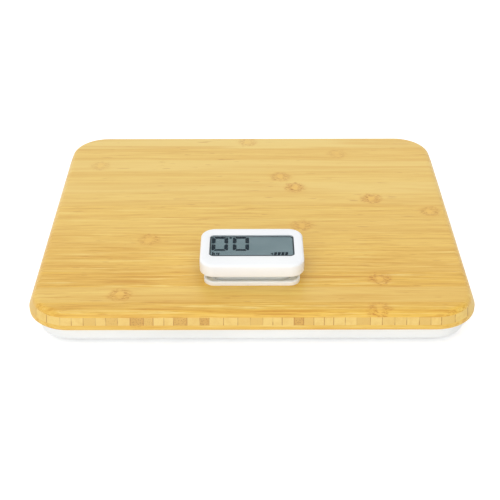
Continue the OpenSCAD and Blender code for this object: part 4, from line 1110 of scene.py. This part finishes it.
# sintered magnet, finely pitted
ferrite = mottled("black_ferrite", (3000.0, 4.0, 0.7), (40, 41, 44), (68, 69, 72), (0.42, 0.6),
                  ramp=(0.35, 0.65), depth=0.02 * MM, Metallic=0.2)
dress("generator_can", can_steel, bevel=FINE_EDGE)
dress("stator_core", core_steel, bevel=None)
dress("coil_bobbin", bobbin_plastic, bevel=0)
dress("coil_winding", enamelled_copper(), bevel=0)
dress("rotor_magnet", ferrite, "generator_rotor", bevel=FINE_EDGE)
dress("rotor_shaft", ground_steel, "generator_rotor", bevel=FINE_EDGE)

lead_line = rounded_path(LEAD_ROUTE, LEAD_BEND)
spread = []
for a, b in zip(lead_line, lead_line[1:]):
    count = max(1, round((b - a).length / LEAD_STEP))
    spread += [a.lerp(b, k / count) for k in range(count)]
spread.append(lead_line[-1])
gone, strands = 0.0, ([], [])
side = Vector((1, 0, 0))
for i, point in enumerate(spread):
    gone += (point - spread[max(i - 1, 0)]).length
    up = ahead_at(spread, i).cross(side)
    for k, strand in enumerate(strands):
        turn = math.tau * gone / LEAD_TURN + math.pi * k
        strand.append(point + LEAD_APART * (math.cos(turn) * side + math.sin(turn) * up))
leads = merged("generator_leads_finished", [wire("lead", strand, LEAD_RADIUS, 10) for strand in strands])
half_faces = len(leads.data.polygons) // 2
leads.data.materials.append(rubber("red_lead_sheath", srgb(176, 36, 32), 0.4))
leads.data.materials.append(rubber("black_lead_sheath", srgb(36, 36, 38), 0.4))
for face in leads.data.polygons:
    face.material_index = 0 if face.index < half_faces else 1
smooth(leads, 50)
fit(leads, "generator_leads")

# Boards
# The main board on the tray's floor holds the measuring and charging parts, and a smaller one in the head
# drives the display. Both are green with fine traces. Two layered rubber strips join the latter to the glass.
CHIPS = {"high": 10.25, "aside": 26.5, "front": -43.5}
HEAD_CHIP_HIGH, HEAD_SOCKET_LOW = 39.5, 40.4
BLACK = (0, 0, 0, 1)


def circuit_green(name):
    """Solder mask over a net of fine traces, with a slight gloss."""
    f = Finish(name, Coat_Weight=0.5, Coat_Roughness=0.18)
    net = f.add("TexBrick", f.place(), Scale=260.0, Mortar_Size=0.10, Mortar=WHITE,
                Color1=BLACK, Color2=BLACK)
    trace = net * f.span(f.noise(f.place(), 130.0, 1.0), 0.46, 0.54)
    f.tones(trace, (22, 92, 48), (66, 142, 74))
    f.rough(trace, 0.0, 1.0, 0.42, 0.34)
    f.relief(trace, 0.04 * MM)
    return f.material


def layered_rubber():
    """Pink silicone with thin dark conducting layers across it."""
    f = Finish("layered_silicone", Subsurface_Weight=0.1, Subsurface_Scale=0.5 * MM)
    layers = f.add("TexWave", f.place(), out="Fac", Scale=1600.0)
    f.tones(f.span(layers, 0.6, 0.8), (232, 160, 158), (70, 52, 54))
    f.rough(layers, 0.0, 1.0, 0.5, 0.62)
    return f.material


socket_plastic = plastic("ivory_socket_plastic", srgb(232, 226, 206), 2400.0, 0.44, 0.006 * MM)
chip_black = rubber("black_moulded_epoxy", srgb(44, 45, 48), 0.5, 2600.0)
dress("main_board", circuit_green("main_board_green"), bevel=0)
parts = dress("board_parts", socket_plastic, bevel=FINE_EDGE)
paint_where(parts, chip_black,
            lambda m, n: m.z < CHIPS["high"] and abs(m.x) < CHIPS["aside"] and m.y > CHIPS["front"])
head_board = dress("head_board", circuit_green("head_board_green"), "display_head", bevel=0)
paint_where(head_board, chip_black, lambda m, n: m.z < HEAD_CHIP_HIGH)
paint_where(head_board, socket_plastic, lambda m, n: m.z > HEAD_SOCKET_LOW)
dress("contact_strips", layered_rubber(), "display_head", bevel=THIN_EDGE)

# Storage capacitor
# An aluminium can in a printed blue sleeve lies on the main board. It is crimped near its right end, and two
# tinned legs go down from that end to the board.
CAN = {"x": -14.0, "y": -21.0, "z": 12.25, "length": 16.0}
CAN_END = [(3.0, -2.6), (2.75, -2.2), (2.75, -1.6), (3.0, -1.2), (3.0, -0.3), (2.8, 0), (2.2, 0),
           (2.1, -0.4), (0, -0.4)]
CAN_TOP = [(0, 0.3), (2.2, 0.3), (2.4, 0), (2.8, 0), (3.0, 0.3)]
CAN_AXIS = 2.15
STRIPE = (14.1, 14.25, 15.0, 15.2)
LEG = {"x": -4.3, "foot": 9.2, "apart": 1, "bend": 0.5, "radius": 0.28}


def sleeve_blue():
    """Printed blue sleeve with one pale stripe along its side."""
    f = Finish("blue_shrunk_sleeve", Coat_Weight=0.5, Coat_Roughness=0.15)
    z = f.axes(f.place())[2]
    stripe = f.span(z, STRIPE[0] * MM, STRIPE[1] * MM) * f.span(z, STRIPE[3] * MM, STRIPE[2] * MM)
    fine = f.noise(f.place(), 1500.0, 2.0)
    f.tones(stripe, (26, 36, 88), (150, 158, 176))
    f.rough(fine, 0.3, 0.7, 0.3, 0.4)
    return f.material


half_can = CAN["length"] / 2
can_profile = [(radius, height - half_can) for radius, height in CAN_TOP]
can_profile += [(radius, height + half_can) for radius, height in CAN_END]
can_body = lathe("can_body", can_profile, (CAN["x"], CAN["y"], CAN["z"]), lying=True)
legs = []
for y in (CAN["y"] - LEG["apart"], CAN["y"] + LEG["apart"]):
    route = [(CAN["x"] + half_can - 0.6, y, CAN["z"]), (LEG["x"], y, CAN["z"]), (LEG["x"], y, LEG["foot"])]
    legs.append(wire("leg", rounded_path(route, LEG["bend"]), LEG["radius"], 8))
capacitor = merged("storage_capacitor_finished", [can_body] + legs)
smooth(capacitor, 40)
capacitor.data.materials.append(sleeve_blue())
paint_where(capacitor, zinc, lambda m, n: m.x > CAN["x"] + half_can - 0.35
            or (m - Vector((m.x, CAN["y"], CAN["z"]))).length < CAN_AXIS)
fit(capacitor, "storage_capacitor")

# Guide posts and springs
# Two ground steel posts slide in the case's columns and keep the head level. A coil spring round each pushes
# the head up again, and a flat cable in a loose bend joins the two boards.
SPRING = {"radius": 2.75, "wire": 0.35, "low": 22.4, "high": 36.75, "turns": 7}
SPRING_STEPS = 28
END_TURN, END_RISE = 0.08, 0.05  # the flat turn at each end, as a share of the coil, and what the ends rise
TRACK_STEP = 1.0


def coil(x, y):
    """Spring of round wire with a closed turn at each end."""
    steps = SPRING_STEPS * SPRING["turns"]
    path = []
    for k in range(steps + 1):
        share = k / steps
        eased = min(1.0, max(0.0, (share - END_TURN) / (1 - 2 * END_TURN)))
        rise = END_RISE * share + (1 - END_RISE) * eased
        height = SPRING["low"] + (SPRING["high"] - SPRING["low"]) * rise
        turn = math.tau * SPRING["turns"] * share
        out_x, out_y = SPRING["radius"] * math.cos(turn), SPRING["radius"] * math.sin(turn)
        path.append(Vector((x + out_x, y + out_y, height)))
    return wire("coil", path, SPRING["wire"], 10)


def polyimide():
    """Amber film over thin copper tracks that run along it."""
    f = Finish("amber_polyimide", Coat_Weight=0.4, Coat_Roughness=0.15)
    x = f.axes(f.place())[0]
    track = f.span(f.math("SINE", x * (math.tau / (TRACK_STEP * MM))), -0.2, 0.2)
    f.tones(track, (196, 112, 30), (150, 74, 26))
    f.rough(track, 0.0, 1.0, 0.3, 0.4)
    f.relief(track, 0.02 * MM)
    return f.material


dress("guide_posts", ground_steel, "display_head", bevel=0.2 * MM)
coils = merged("return_springs_finished", [coil(x, y) for x, y, _ in about_head(post_places)])
smooth(coils, 60)
spring_wire = steel("music_wire", srgb(168, 172, 178), 0.26, grain=1200.0)
fit(coils, "return_springs", spring_wire)
flex = dress("flex_cable", polyimide(), bevel=0)
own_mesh(coils)
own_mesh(flex)

bpy.context.view_layer.update()
low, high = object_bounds()
